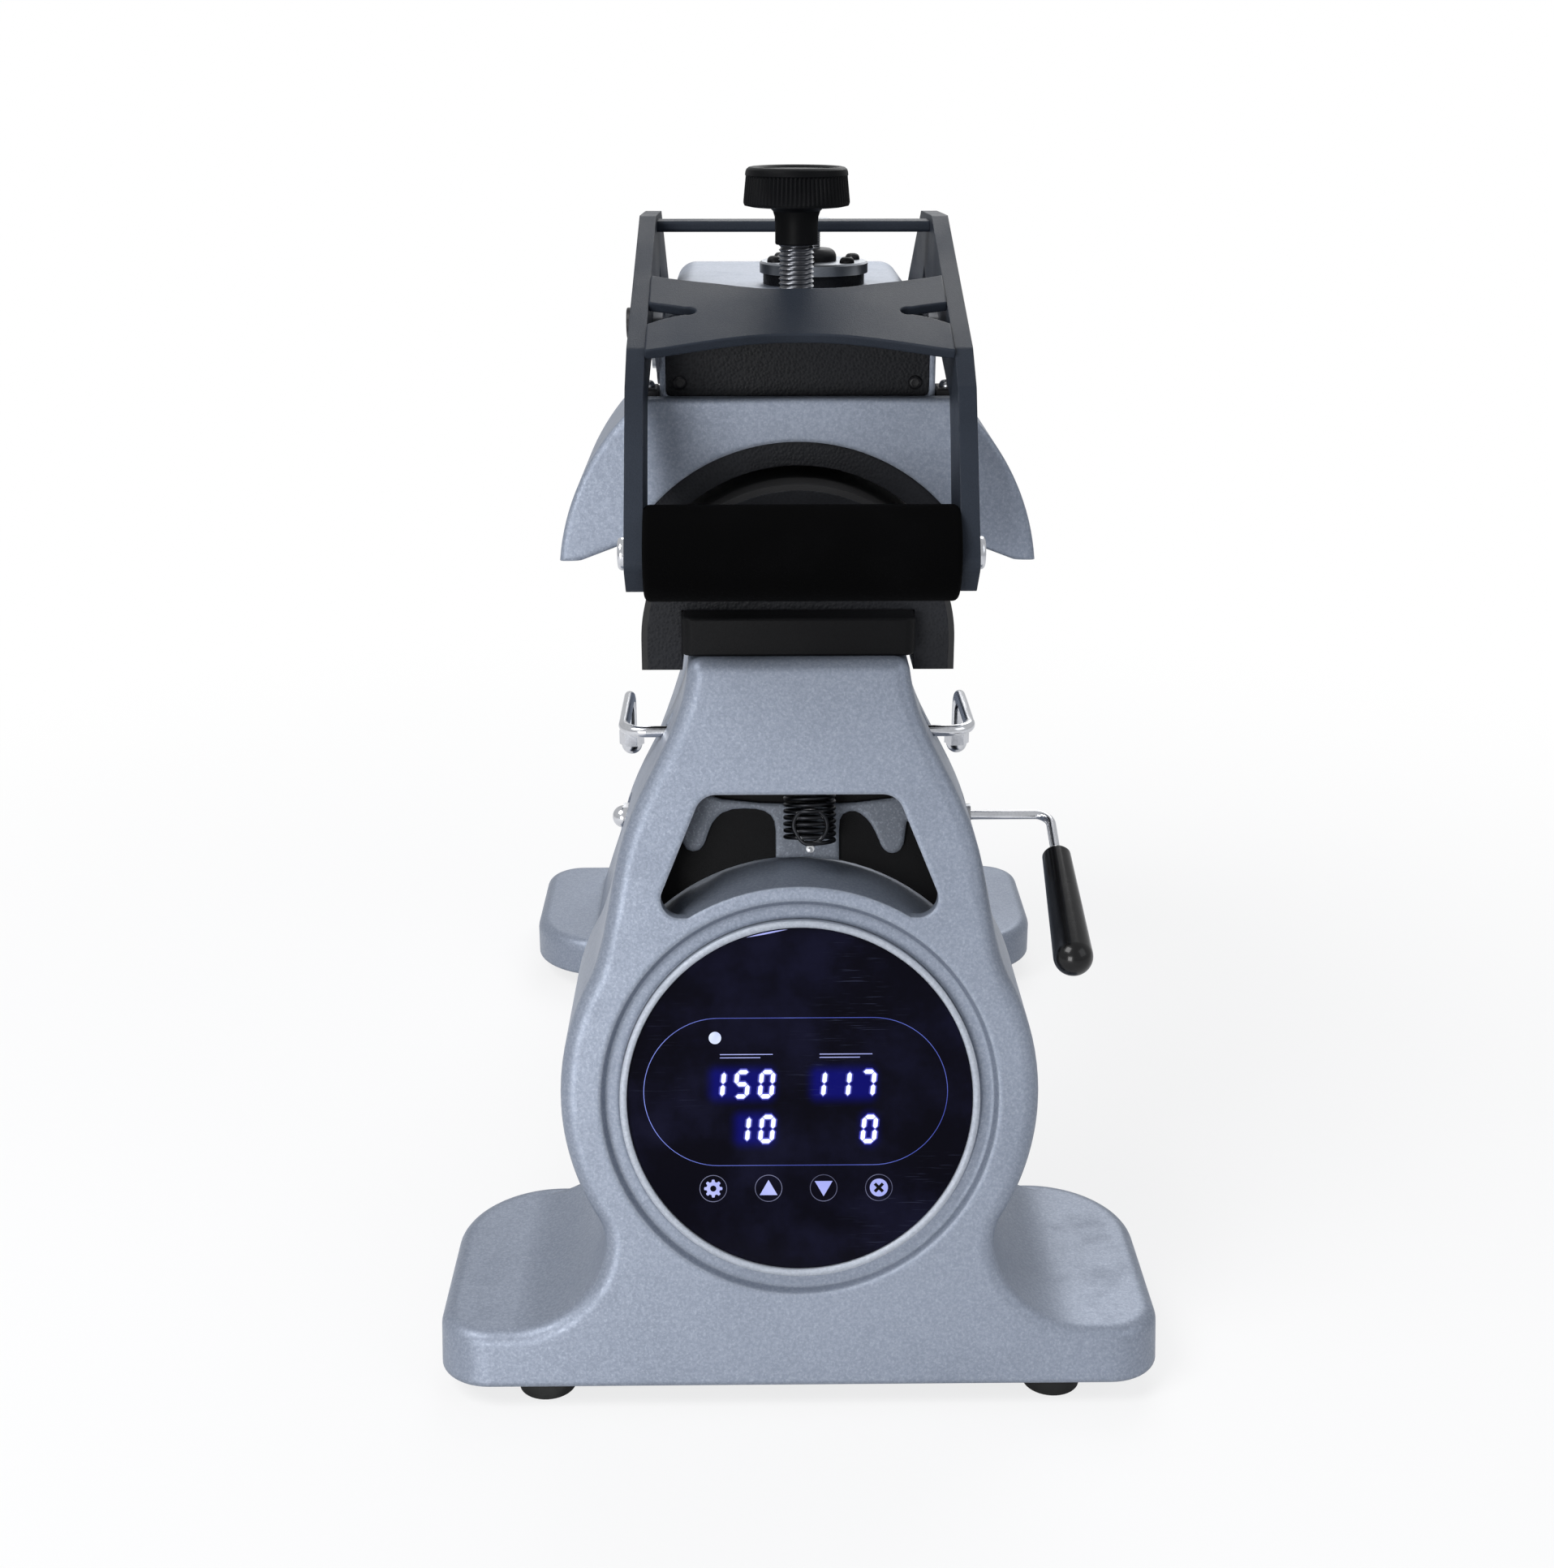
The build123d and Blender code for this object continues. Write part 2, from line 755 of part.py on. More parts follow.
grip_plane = Plane(
    origin=tuple(crank_corner + crank_direction * (crank_reach + 12 - crank_grip_length)),
    x_dir=(1, 0, 0),
    z_dir=tuple(crank_direction),
)
with BuildPart() as crank_grip:
    with BuildSketch(Plane.XZ) as grip_half:
        with BuildLine():
            g0 = Line((crank_rod_radius, 0), (crank_grip_neck - 1, 0))
            g1 = Line(g0 @ 1, (crank_grip_neck, 1.5))
            g2 = Line(g1 @ 1, (crank_grip_radius, crank_grip_length - crank_grip_radius))
            g3 = RadiusArc(g2 @ 1, (0, crank_grip_length), -crank_grip_radius)
            g4 = Line(g3 @ 1, (0, crank_grip_length - 4))
            g5 = Line(g4 @ 1, (crank_rod_radius, crank_grip_length - 4))
            Line(g5 @ 1, g0 @ 0)
        make_face()
    revolve(axis=Axis.Z)
crank_grip.part.locate(grip_plane.location)
write(crank_grip, "crank_grip")

# ---------------------------------------------------------------- cap clamp
follower_setback = shaft_setback + 5.0
follower_bottom = shaft_height - cam_throw * sin(cam_phase) + cam_radius + glass_gap
carriage_bottom = 323.0
carriage_height = 18.0
with BuildPart() as clamp_carriage:
    with BuildSketch(Plane.XY.offset(carriage_bottom)):
        with Locations((0, y_at(124))):
            Rectangle(62, 28)
        with Locations((-guide_x, y_at(guide_setback_y)), (guide_x, y_at(guide_setback_y))):
            Circle(guide_radius + 2 * running_gap, mode=Mode.SUBTRACT)
    extrude(amount=carriage_height)
    with BuildSketch(Plane.XY.offset(carriage_bottom + 1)):
        with Locations((0, y_at(follower_setback))):
            Circle(3.5)
    extrude(amount=follower_bottom - carriage_bottom - 1)
    with BuildSketch(Plane.XZ.offset(-y_at(112))):
        with Locations((spring_x, lug_height)):
            Circle(2.5)
    extrude(amount=8.5)
    for side in (-1, 1):
        with BuildSketch(arm_side(side * 32)):
            with Locations(side_point(bail_setback, bail_height)):
                Circle(bail_wire)
        extrude(amount=side * -9, mode=Mode.SUBTRACT)
write(clamp_carriage, "clamp_carriage")

with BuildPart() as clamp_guides:
    with BuildSketch(Plane.XY.offset(neck_top - casting_wall - 2)):
        with Locations((-guide_x, y_at(guide_setback_y)), (guide_x, y_at(guide_setback_y))):
            Circle(guide_radius)
    extrude(amount=-(neck_top - casting_wall - 2 - 314))
write(clamp_guides, "clamp_guides")

with BuildPart() as clamp_bail:
    for side in (-1, 1):
        with BuildLine() as bail_line:
            FilletPolyline(
                (side * 23, y_at(bail_setback), bail_height),
                (side * bail_half_width, y_at(bail_setback), bail_height),
                (side * bail_half_width, y_at(bail_reach), bail_height),
                (side * bail_half_width, y_at(bail_reach), bail_drop),
                radius=12,
            )
        with BuildSketch(Plane(origin=bail_line.line @ 0, z_dir=(side, 0, 0))):
            Circle(bail_wire)
        sweep()
write(clamp_bail, "clamp_bail")

with BuildPart() as bail_dome_nuts:
    for side in (-1, 1):
        nut_plane = Plane.XY.offset(bail_drop + 8)
        with BuildSketch(nut_plane):
            with Locations((side * bail_half_width, y_at(bail_reach))):
                RegularPolygon(7, 6)
        extrude(amount=-8)
        with Locations((side * bail_half_width, y_at(bail_reach), bail_drop)):
            Sphere(5.8)
        with BuildSketch(nut_plane):
            with Locations((side * bail_half_width, y_at(bail_reach))):
                Circle(bail_wire)
        extrude(amount=-8, mode=Mode.SUBTRACT)
write(bail_dome_nuts, "bail_dome_nuts")

# ---------------------------------------------------------------- lower platen
platen_bracket_top = platen_axis_height - platen_skirt + 32
with BuildPart() as platen_bracket:
    with BuildSketch(Plane.XY.offset(neck_top)):
        with Locations((0, y_at(platen_bracket_front))):
            Rectangle(2 * platen_bracket_half, 142, align=(Align.CENTER, Align.MIN))
    extrude(amount=platen_bracket_top - neck_top)
    with BuildSketch(Plane.XY.offset(neck_top)):
        with Locations((0, y_at(pedestal_depth + 4))):
            Rectangle(2 * platen_bracket_half - 16, 86, align=(Align.CENTER, Align.MIN))
    extrude(amount=platen_bracket_top - neck_top - 8, mode=Mode.SUBTRACT)
    fillet(platen_bracket.edges().filter_by(Axis.Z).group_by(Axis.Y)[0], 6)
write(platen_bracket, "platen_bracket")


def arch(radius, inner, bottom, length_start, length):
    """Half pipe about the platen axis, cut off flat below."""
    with BuildPart() as pipe:
        with BuildSketch(Plane.XZ.offset(-y_at(length_start))):
            with Locations((0, platen_axis_height)):
                Circle(radius)
            with Locations((0, (platen_axis_height + bottom) / 2)):
                Rectangle(2 * radius, platen_axis_height - bottom)
            with Locations((0, bottom - radius)):
                Rectangle(3 * radius, 2 * radius, mode=Mode.SUBTRACT)
            if inner > 0:
                with Locations((0, platen_axis_height)):
                    Circle(inner, mode=Mode.SUBTRACT)
                with Locations((0, (platen_axis_height + bottom) / 2)):
                    Rectangle(2 * inner, platen_axis_height - bottom, mode=Mode.SUBTRACT)
        extrude(amount=-length)
    return pipe.part


platen_bottom = platen_axis_height - platen_skirt
with BuildPart() as lower_platen:
    add(arch(platen_radius, 0, platen_bottom, platen_front, platen_length))
    with BuildSketch(Plane.XZ.offset(-y_at(platen_front))):
        with Locations((0, platen_bottom)):
            Rectangle(2 * platen_slot_half, 64, align=(Align.CENTER, Align.CENTER))
    extrude(amount=-platen_length, mode=Mode.SUBTRACT)
write(lower_platen, "lower_platen")

with BuildPart() as platen_pad:
    add(
        arch(
            platen_radius + pad_thickness,
            platen_radius,
            platen_bottom,
            platen_front,
            platen_length,
        )
    )
write(platen_pad, "platen_pad")

# ---------------------------------------------------------------- upper head
heater_inner = platen_radius + pad_thickness + cap_gap
heater_outer = heater_inner + heater_thickness
head_plane = Plane.XZ.offset(-y_at(head_front))
head_centre_setback = head_front + head_length / 2


def head_section(top):
    """Outer outline of the head, flat above and below."""
    with BuildSketch(Plane.XY, mode=Mode.PRIVATE) as outline:
        with Locations((0, head_axis_height)):
            Circle(head_radius)
        with Locations((0, top)):
            Rectangle(
                4 * head_radius,
                head_radius,
                align=(Align.CENTER, Align.MIN),
                mode=Mode.SUBTRACT,
            )
        with Locations((0, head_bottom_height)):
            Rectangle(
                4 * head_radius,
                2 * head_radius,
                align=(Align.CENTER, Align.MAX),
                mode=Mode.SUBTRACT,
            )
        with Locations((0, platen_axis_height)):
            Circle(heater_outer + glass_gap, mode=Mode.SUBTRACT)
        for side in (-1, 1):
            with BuildLine():
                Polyline(
                    (side * (head_radius - 12), head_bottom_height),
                    (side * (heater_inner - 8), head_bottom_height + 12),
                    (side * (heater_inner - 8), head_bottom_height - 1),
                    close=True,
                )
            make_face(mode=Mode.SUBTRACT)
    return outline.sketch_local


def head_pocket(gap, height_gap):
    """Section of the hollow between the heater and the cover."""
    with BuildSketch(Plane.XY, mode=Mode.PRIVATE) as pocket:
        with Locations((0, head_axis_height)):
            Circle(head_radius - head_wall - gap)
        with Locations((0, head_top_height - head_wall - gap)):
            Rectangle(
                4 * head_radius,
                head_radius,
                align=(Align.CENTER, Align.MIN),
                mode=Mode.SUBTRACT,
            )
        with Locations((0, head_bottom_height + 14 + gap)):
            Rectangle(
                4 * head_radius,
                2 * head_radius,
                align=(Align.CENTER, Align.MAX),
                mode=Mode.SUBTRACT,
            )
        with Locations((0, platen_axis_height)):
            Circle(heater_outer + height_gap, mode=Mode.SUBTRACT)
    return pocket.sketch_local


with BuildPart() as head_cover:
    with BuildSketch(head_plane):
        add(head_section(head_rim_height))
    extrude(amount=-head_rim_depth)
    with BuildSketch(head_plane.offset(-head_rim_depth)):
        add(head_section(head_top_height))
    extrude(amount=-(head_length - head_rim_depth))
    with BuildSketch(head_plane.offset(-head_wall)):
        add(head_pocket(0, 0))
    extrude(amount=-(head_length - 2 * head_wall), mode=Mode.SUBTRACT)
    with BuildSketch(Plane.XY.offset(head_top_height)):
        with Locations((0, y_at(head_centre_setback))):
            Circle(socket_radius)
    extrude(amount=socket_height)
    with BuildSketch(Plane.XY.offset(head_top_height + 2)):
        with Locations((0, y_at(head_centre_setback))):
            Circle(stud_radius + glass_gap)
    extrude(amount=socket_height, mode=Mode.SUBTRACT)
    rim_edges = [
        e
        for e in head_cover.faces().sort_by(Axis.Y)[0].edges()
        if e.center().Z > head_bottom_height + 2
        and (Vector(0, 0, platen_axis_height) - Vector(e.center().X, 0, e.center().Z)).length
        > heater_outer + 2
    ]
    fillet(rim_edges, 2.5)
write(head_cover, "head_cover")

with BuildPart() as upper_heater:
    with BuildSketch(head_plane.offset(-1.5)):
        with Locations((0, platen_axis_height)):
            Circle(heater_outer)
            Circle(heater_inner, mode=Mode.SUBTRACT)
        with Locations((0, head_bottom_height)):
            Rectangle(
                3 * heater_outer,
                4 * heater_outer,
                align=(Align.CENTER, Align.MAX),
                mode=Mode.SUBTRACT,
            )
    extrude(amount=-(head_length - 3))
write(upper_heater, "upper_heater")

with BuildPart() as head_insulation:
    with BuildSketch(head_plane.offset(-head_wall - glass_gap)):
        add(head_pocket(glass_gap, 2 * glass_gap))
    extrude(amount=-(head_length - 2 * head_wall - 2 * glass_gap))
write(head_insulation, "head_insulation")

with BuildPart() as guide_blocks:
    with BuildSketch(Plane.XY.offset(head_top_height)):
        with Locations((0, y_at(guide_setback))):
            with GridLocations(2 * (arm_half_width + 0.7 + guide_width / 2), 1, 2, 1):
                Rectangle(guide_width, guide_length)
    extrude(amount=guide_height)
    chamfer(guide_blocks.edges().group_by(Axis.Z)[-1], 1)
write(guide_blocks, "guide_blocks")

# ---------------------------------------------------------------- pressure screw
stud_bottom = head_top_height + 2 + glass_gap
with BuildPart() as pressure_stud:
    with BuildSketch(Plane.XY.offset(stud_bottom)):
        with Locations((0, y_at(head_centre_setback))):
            Circle(stud_radius)
    extrude(amount=knob_bottom_height - stud_bottom + 6)
    chamfer(pressure_stud.edges().group_by(Axis.Z)[0], 1.5)
write(pressure_stud, "pressure_stud")

knob_centre = (0, y_at(head_centre_setback))
with BuildPart() as pressure_knob:
    with BuildSketch(Plane.XY.offset(knob_bottom_height - knob_hub_height)):
        with Locations(knob_centre):
            Circle(knob_hub_radius)
    extrude(amount=knob_hub_height - 5)
    with BuildSketch(Plane.XY.offset(knob_bottom_height - 5)):
        with Locations(knob_centre):
            Circle(knob_hub_radius)
    with BuildSketch(Plane.XY.offset(knob_bottom_height)):
        with Locations(knob_centre):
            Circle(knob_radius - 3)
    loft()
    with BuildSketch(Plane.XY.offset(knob_bottom_height)):
        with Locations(knob_centre):
            Circle(knob_radius)
    with BuildSketch(Plane.XY.offset(knob_bottom_height + knob_height)):
        with Locations(knob_centre):
            Circle(knob_top_radius)
    loft()
    fillet(pressure_knob.edges().group_by(Axis.Z)[-1], 2)
    with BuildSketch(Plane.XY.offset(knob_bottom_height - knob_hub_height)):
        with Locations(knob_centre):
            Circle(stud_radius)
    extrude(amount=knob_hub_height + 6, mode=Mode.SUBTRACT)
write(pressure_knob, "pressure_knob")

# ---------------------------------------------------------------- arm
arm_bottom = head_top_height + arm_nose_clearance
arm_left = arm_side(-arm_half_width)
with BuildPart() as arm_casting:
    with BuildSketch(arm_left):
        with BuildLine():
            Polyline(
                side_point(arm_front, arm_bottom),
                side_point(arm_step_setback, arm_bottom),
                side_point(arm_step_setback + 10, arm_cheek_height),
                side_point(pivot_setback, arm_cheek_height),
                side_point(pivot_setback, arm_top_height),
                side_point(arm_front, arm_top_height),
                close=True,
            )
        make_face()
        with Locations(side_point(pivot_setback, pivot_height)):
            Circle(arm_tail_radius)
    extrude(amount=2 * arm_half_width)
    top_edges = [
        e
        for e in arm_casting.faces().sort_by(Axis.Z)[-1].edges()
        if e.center().Y < y_at(pivot_setback) - 1
    ]
    fillet(top_edges, arm_edge_radius)
    with BuildSketch(arm_side(-arm_half_width + arm_wall)):
        with Locations(side_point(arm_front + arm_wall, arm_top_height - arm_wall)):
            Rectangle(
                pivot_setback - arm_front - arm_wall,
                200,
                align=(Align.MIN, Align.MAX),
            )
        with Locations(side_point(pivot_setback, pivot_height)):
            Circle(arm_tail_radius - arm_wall)
        with Locations(side_point(pivot_setback - 20, pivot_height + 16)):
            Rectangle(120, 150, align=(Align.MIN, Align.MAX))
    extrude(amount=2 * (arm_half_width - arm_wall), mode=Mode.SUBTRACT)
    with BuildSketch(Plane.XZ.offset(-y_at(arm_front))) as front_recess:
        with Locations((0, arm_bottom + front_plate_rim)):
            Rectangle(
                2 * (arm_half_width - front_plate_rim),
                arm_top_height - arm_bottom - 2 * front_plate_rim,
                align=(Align.CENTER, Align.MIN),
            )
        fillet(front_recess.vertices().group_by(Axis.Y)[-1], arm_edge_radius - 3)
        fillet(front_recess.vertices().group_by(Axis.Y)[0], 3)
    extrude(amount=-front_plate_thickness, mode=Mode.SUBTRACT)
    with BuildSketch(arm_left):
        with Locations(side_point(pivot_setback, pivot_height)):
            Circle(pin_radius + pin_gap)
    extrude(amount=2 * arm_half_width, mode=Mode.SUBTRACT)
    with BuildSketch(Plane.XY.offset(arm_top_height + 1)):
        with Locations(knob_centre):
            Circle(stud_radius + 1)
        with Locations((keeper_x, y_at(keeper_setback))):
            Circle(keeper_rod_radius)
    extrude(amount=-arm_wall - 2, mode=Mode.SUBTRACT)
write(arm_casting, "arm_casting")

with BuildPart() as arm_front_plate:
    with BuildSketch(Plane.XZ.offset(-y_at(arm_front))) as plate_face:
        with Locations((0, arm_bottom + front_plate_rim + glass_gap)):
            Rectangle(
                2 * (arm_half_width - front_plate_rim - glass_gap),
                arm_top_height - arm_bottom - 2 * front_plate_rim - 2 * glass_gap,
                align=(Align.CENTER, Align.MIN),
            )
        fillet(plate_face.vertices().group_by(Axis.Y)[-1], arm_edge_radius - 3)
        fillet(plate_face.vertices().group_by(Axis.Y)[0], 3)
    extrude(amount=-front_plate_thickness)
write(arm_front_plate, "arm_front_plate")

with BuildPart() as stud_nut:
    with BuildSketch(Plane.XY.offset(arm_top_height - arm_wall)):
        with Locations(knob_centre):
            RegularPolygon(17, 6)
            Circle(stud_radius + running_gap, mode=Mode.SUBTRACT)
    extrude(amount=-14)
write(stud_nut, "stud_nut")

# ---------------------------------------------------------------- lever yoke
spacer_setback = 206.0
spacer_height = 533.0
spacer_radius = 8.0
with BuildSketch(Plane.YZ, mode=Mode.PRIVATE) as yoke_profile:
    with BuildLine():
        Polyline(
            side_point(grip_setback - 17, grip_height - 3),
            side_point(grip_setback + 26, 517),
            side_point(104, 533),
            side_point(253, 585),
            side_point(323, 583),
            side_point(404, 540),
            side_point(pivot_setback + 20, pivot_height + 15),
            side_point(pivot_setback, pivot_height - 4),
            side_point(pivot_setback - 20, pivot_height - 16),
            side_point(300, 548),
            side_point(292, 555),
            side_point(284, 550),
            side_point(122, 507),
            side_point(112, 490),
            side_point(88, grip_height - 8),
            side_point(84, grip_height - 18),
            side_point(54, grip_height - 19),
            close=True,
        )
    make_face()
    offset(amount=-yoke_corner)
    offset(amount=yoke_corner)
    with Locations(side_point(pivot_setback, pivot_height)):
        Circle(eye_radius)
        Circle(pin_radius + pin_gap, mode=Mode.SUBTRACT)

for side, name in ((-1, "yoke_plate_left"), (1, "yoke_plate_right")):
    with BuildPart() as yoke_plate:
        with BuildSketch(arm_side(side * yoke_inner)):
            add(yoke_profile.sketch_local)
        extrude(amount=side * yoke_thickness)
    write(yoke_plate, name)

cross_slope = radians(18.8)
cross_plane = Plane(
    origin=(0, y_at(102), 531.5),
    x_dir=(1, 0, 0),
    z_dir=(0, -sin(cross_slope), cos(cross_slope)),
)
with BuildPart() as yoke_cross_plate:
    with BuildSketch(cross_plane) as cross_face:
        with BuildLine():
            ThreePointArc((-yoke_inner, 0), (0, 17), (yoke_inner, 0))
            Line((yoke_inner, 0), (yoke_inner, 90))
            ThreePointArc((yoke_inner, 90), (0, 71), (-yoke_inner, 90))
            Line((-yoke_inner, 90), (-yoke_inner, 0))
        make_face()
        for side in (-1, 1):
            with Locations((side * (yoke_inner + 6), 45)):
                SlotOverall(2 * (yoke_inner + 6 - 50), 27, mode=Mode.SUBTRACT)
    extrude(amount=cross_thickness / 2, both=True)
write(yoke_cross_plate, "yoke_cross_plate")

with BuildPart() as yoke_top_bar:
    with BuildSketch(arm_side(-yoke_inner)):
        with Locations(side_point(bar_setback, bar_height - 5)):
            Rectangle(bar_depth, bar_thickness)
    extrude(amount=2 * yoke_inner)
    fillet(yoke_top_bar.edges().filter_by(Axis.X), 2)
write(yoke_top_bar, "yoke_top_bar")

with BuildPart() as handle_grip:
    with BuildSketch(arm_side(-yoke_inner)):
        with Locations(side_point(grip_setback, grip_height)):
            Circle(grip_radius)
            Circle(5, mode=Mode.SUBTRACT)
    extrude(amount=2 * yoke_inner)
    fillet(
        [
            e
            for e in handle_grip.edges().filter_by(GeomType.CIRCLE)
            if e.radius > grip_radius - 1
        ],
        3,
    )
write(handle_grip, "handle_grip")

with BuildPart() as grip_bolts:
    with BuildSketch(arm_side(-yoke_inner)):
        with Locations(side_point(grip_setback, grip_height)):
            Circle(5)
    extrude(amount=2 * yoke_inner)
    for side in (-1, 1):
        with BuildSketch(arm_side(side * (yoke_inner + yoke_thickness))):
            with Locations(side_point(grip_setback, grip_height)):
                Circle(8)
        extrude(amount=side * 3.5)
    fillet(
        [
            e
            for e in grip_bolts.edges().filter_by(GeomType.CIRCLE)
            if e.radius > 7 and abs(e.center().X) > yoke_inner + yoke_thickness + 1
        ],
        2,
    )
write(grip_bolts, "grip_bolts")

with BuildPart() as yoke_spacers:
    for side in (-1, 1):
        with BuildSketch(arm_side(side * arm_half_width)):
            with Locations(side_point(pivot_setback, pivot_height)):
                Circle(pin_radius + 8)
                Circle(pin_radius + pin_gap, mode=Mode.SUBTRACT)
            with Locations(side_point(spacer_setback, spacer_height)):
                Circle(spacer_radius)
        extrude(amount=side * (yoke_inner - arm_half_width))
write(yoke_spacers, "yoke_spacers")

# ---------------------------------------------------------------- keeper and magnet
keeper_centre = (keeper_x, y_at(keeper_setback))
with BuildPart() as keeper_base:
    with BuildSketch(Plane.XY.offset(arm_top_height)):
        with Locations(keeper_centre):
            Circle(keeper_base_radius)
            Circle(keeper_rod_radius, mode=Mode.SUBTRACT)
    extrude(amount=keeper_base_height)
write(keeper_base, "keeper_base")

keeper_level = arm_top_height + keeper_base_height
with BuildPart() as keeper_flange:
    with BuildSketch(Plane.XY.offset(keeper_level)):
        with Locations(keeper_centre):
            Circle(keeper_radius)
            Circle(keeper_rod_radius, mode=Mode.SUBTRACT)
    extrude(amount=keeper_thickness)
    chamfer(keeper_flange.faces().sort_by(Axis.Z)[-1].outer_wire().edges(), 1)
write(keeper_flange, "keeper_flange")

dome_level = keeper_level + keeper_thickness
with BuildPart() as keeper_dome:
    with BuildSketch(Plane.XY.offset(dome_level)):
        with Locations(keeper_centre):
            Circle(13)
    extrude(amount=7)
    fillet(keeper_dome.faces().sort_by(Axis.Z)[-1].edges(), 5)
    with BuildSketch(Plane.XY.offset(dome_level)):
        with Locations(keeper_centre):
            Circle(keeper_rod_radius)
    extrude(amount=10, mode=Mode.SUBTRACT)
write(keeper_dome, "keeper_dome")

armature_level = magnet_top_height + seat_gap
with BuildPart() as keeper_rod:
    with BuildSketch(Plane.XY.offset(armature_level + armature_thickness)):
        with Locations(keeper_centre):
            Circle(keeper_rod_radius)
    extrude(amount=keeper_top_height - armature_level - armature_thickness + 2)
    with BuildSketch(Plane.XY.offset(keeper_top_height)):
        with Locations(keeper_centre):
            Circle(10)
    extrude(amount=3)
    fillet(keeper_rod.edges().group_by(Axis.Z)[-1], 1)
write(keeper_rod, "keeper_rod")

with BuildPart() as armature_plate:
    with BuildSketch(Plane.XY.offset(armature_level)):
        with Locations(keeper_centre):
            Circle(magnet_radius + 2)
    extrude(amount=armature_thickness)
    chamfer(armature_plate.edges().group_by(Axis.Z)[-1], 1)
write(armature_plate, "armature_plate")

magnet_bottom = magnet_top_height - magnet_height
with BuildPart() as electromagnet:
    with BuildSketch(Plane.XY.offset(magnet_bottom)):
        with Locations(keeper_centre):
            Circle(magnet_radius)
    extrude(amount=magnet_height)
    with BuildSketch(Plane.XY.offset(magnet_top_height)):
        with Locations(keeper_centre):
            Circle(magnet_radius - 4)
            Circle(magnet_radius - 14, mode=Mode.SUBTRACT)
    extrude(amount=-1, mode=Mode.SUBTRACT)
write(electromagnet, "electromagnet")

bracket_face_setback = 404.0
bracket_plate = 8.0
with BuildPart() as magnet_bracket:
    with BuildSketch(Plane.XY.offset(magnet_bottom - bracket_plate)):
        with Locations((0, y_at(keeper_setback - magnet_radius - 4))):
            Rectangle(
                90,
                bracket_face_setback - keeper_setback + magnet_radius + 4,
                align=(Align.CENTER, Align.MIN),
            )
    extrude(amount=bracket_plate)
    with BuildSketch(Plane.XZ.offset(-y_at(bracket_face_setback - bracket_plate))):
        with Locations((0, magnet_bottom)):
            Rectangle(72, 46, align=(Align.CENTER, Align.MAX))
    extrude(amount=-bracket_plate)
    for x in (-26, 26):
        with BuildSketch(arm_side(x - 3)):
            with BuildLine():
                Polyline(
                    side_point(bracket_face_setback - 1, magnet_bottom - 2),
                    side_point(bracket_face_setback - 72, magnet_bottom - 2),
                    side_point(bracket_face_setback - 72, magnet_bottom - 12),
                    side_point(bracket_face_setback - 1, magnet_bottom - 44),
                    close=True,
                )
            make_face()
        extrude(amount=6)
    fillet(magnet_bracket.edges().filter_by(Axis.Z).group_by(Axis.Y)[0], 8)
write(magnet_bracket, "magnet_bracket")

# ---------------------------------------------------------------- rear tower
rear_foot_front = base_depth - foot_length
rear_slab = foot_slab(rear_foot_front, foot_length, foot_back_radius, foot_front_radius, 0)
tower_sections = (
    (plate_top - 8, 588.0, 292.0, 146.0, 30.0),
    (101.0, 572.0, 250.0, 132.0, 30.0),
    (141.0, 562.0, 222.0, 126.0, 30.0),
    (190.0, 547.0, 186.0, 116.0, 28.0),
    (300.0, 506.0, 130.0, 100.0, 22.0),
    (400.0, 462.0, 104.0, 90.0, 10.0),
)


def tower_loft(wall, low, high):
    """The tower's column, or the hollow inside it when a wall is given."""
    with BuildPart() as column:
        for height, centre, width, depth, corner in tower_sections:
            level = min(max(height, low), high)
            with BuildSketch(Plane.XY.offset(level)):
                with Locations((0, y_at(centre))):
                    RectangleRounded(width - 2 * wall, depth - 2 * wall, max(corner - wall, 3))
        loft()
    return column.part


cover_tilt = atan2(52, 110)
cover_plane = Plane(
    origin=(0, y_at(577), 245 - 2),
    x_dir=(-1, 0, 0),
    z_dir=(0, cos(cover_tilt), sin(cover_tilt)),
)
cover_width = 92.0
cover_height = 104.0
cover_thickness = 3.0
inlet_width = 28.0
inlet_height = 21.0
inlet_drop = -24.0
rocker_rise = 24.0
pad_front = bracket_face_setback
with BuildPart() as rear_tower:
    add(tower_loft(0, 0, 1000))
    add(rear_slab)
    with BuildSketch(arm_side(-tongue_half_width)):
        with BuildLine():
            Polyline(
                side_point(424, 392),
                side_point(504, 392),
                side_point(pivot_setback + 26, pivot_height),
                side_point(pivot_setback - 26, pivot_height),
                close=True,
            )
        make_face()
        with Locations(side_point(pivot_setback, pivot_height)):
            Circle(tongue_radius)
    extrude(amount=2 * tongue_half_width)
    with BuildSketch(Plane.XZ.offset(-y_at(pad_front))):
        with Locations((0, magnet_bottom)):
            RectangleRounded(72, 46, 6, align=(Align.CENTER, Align.MAX))
    extrude(amount=-60)
    add(tower_loft(tower_wall, plate_top - casting_wall - 2, 1000), mode=Mode.SUBTRACT)
    add(
        foot_recess(
            rear_foot_front,
            foot_length,
            foot_front_radius + casting_wall,
            base_depth - rubber_inset,
        ),
        mode=Mode.SUBTRACT,
    )
    with BuildSketch(arm_side(-tongue_half_width)):
        with Locations(side_point(pivot_setback, pivot_height)):
            Circle(bush_outer_radius)
    extrude(amount=2 * tongue_half_width, mode=Mode.SUBTRACT)
    with BuildSketch(cover_plane):
        RectangleRounded(cover_width + 2 * glass_gap, cover_height + 2 * glass_gap, 6)
    extrude(amount=40, mode=Mode.SUBTRACT)
    with BuildSketch(cover_plane.offset(1)):
        RectangleRounded(cover_width - 16, cover_height - 16, 5)
    extrude(amount=-30, mode=Mode.SUBTRACT)
write(rear_tower, "rear_tower")

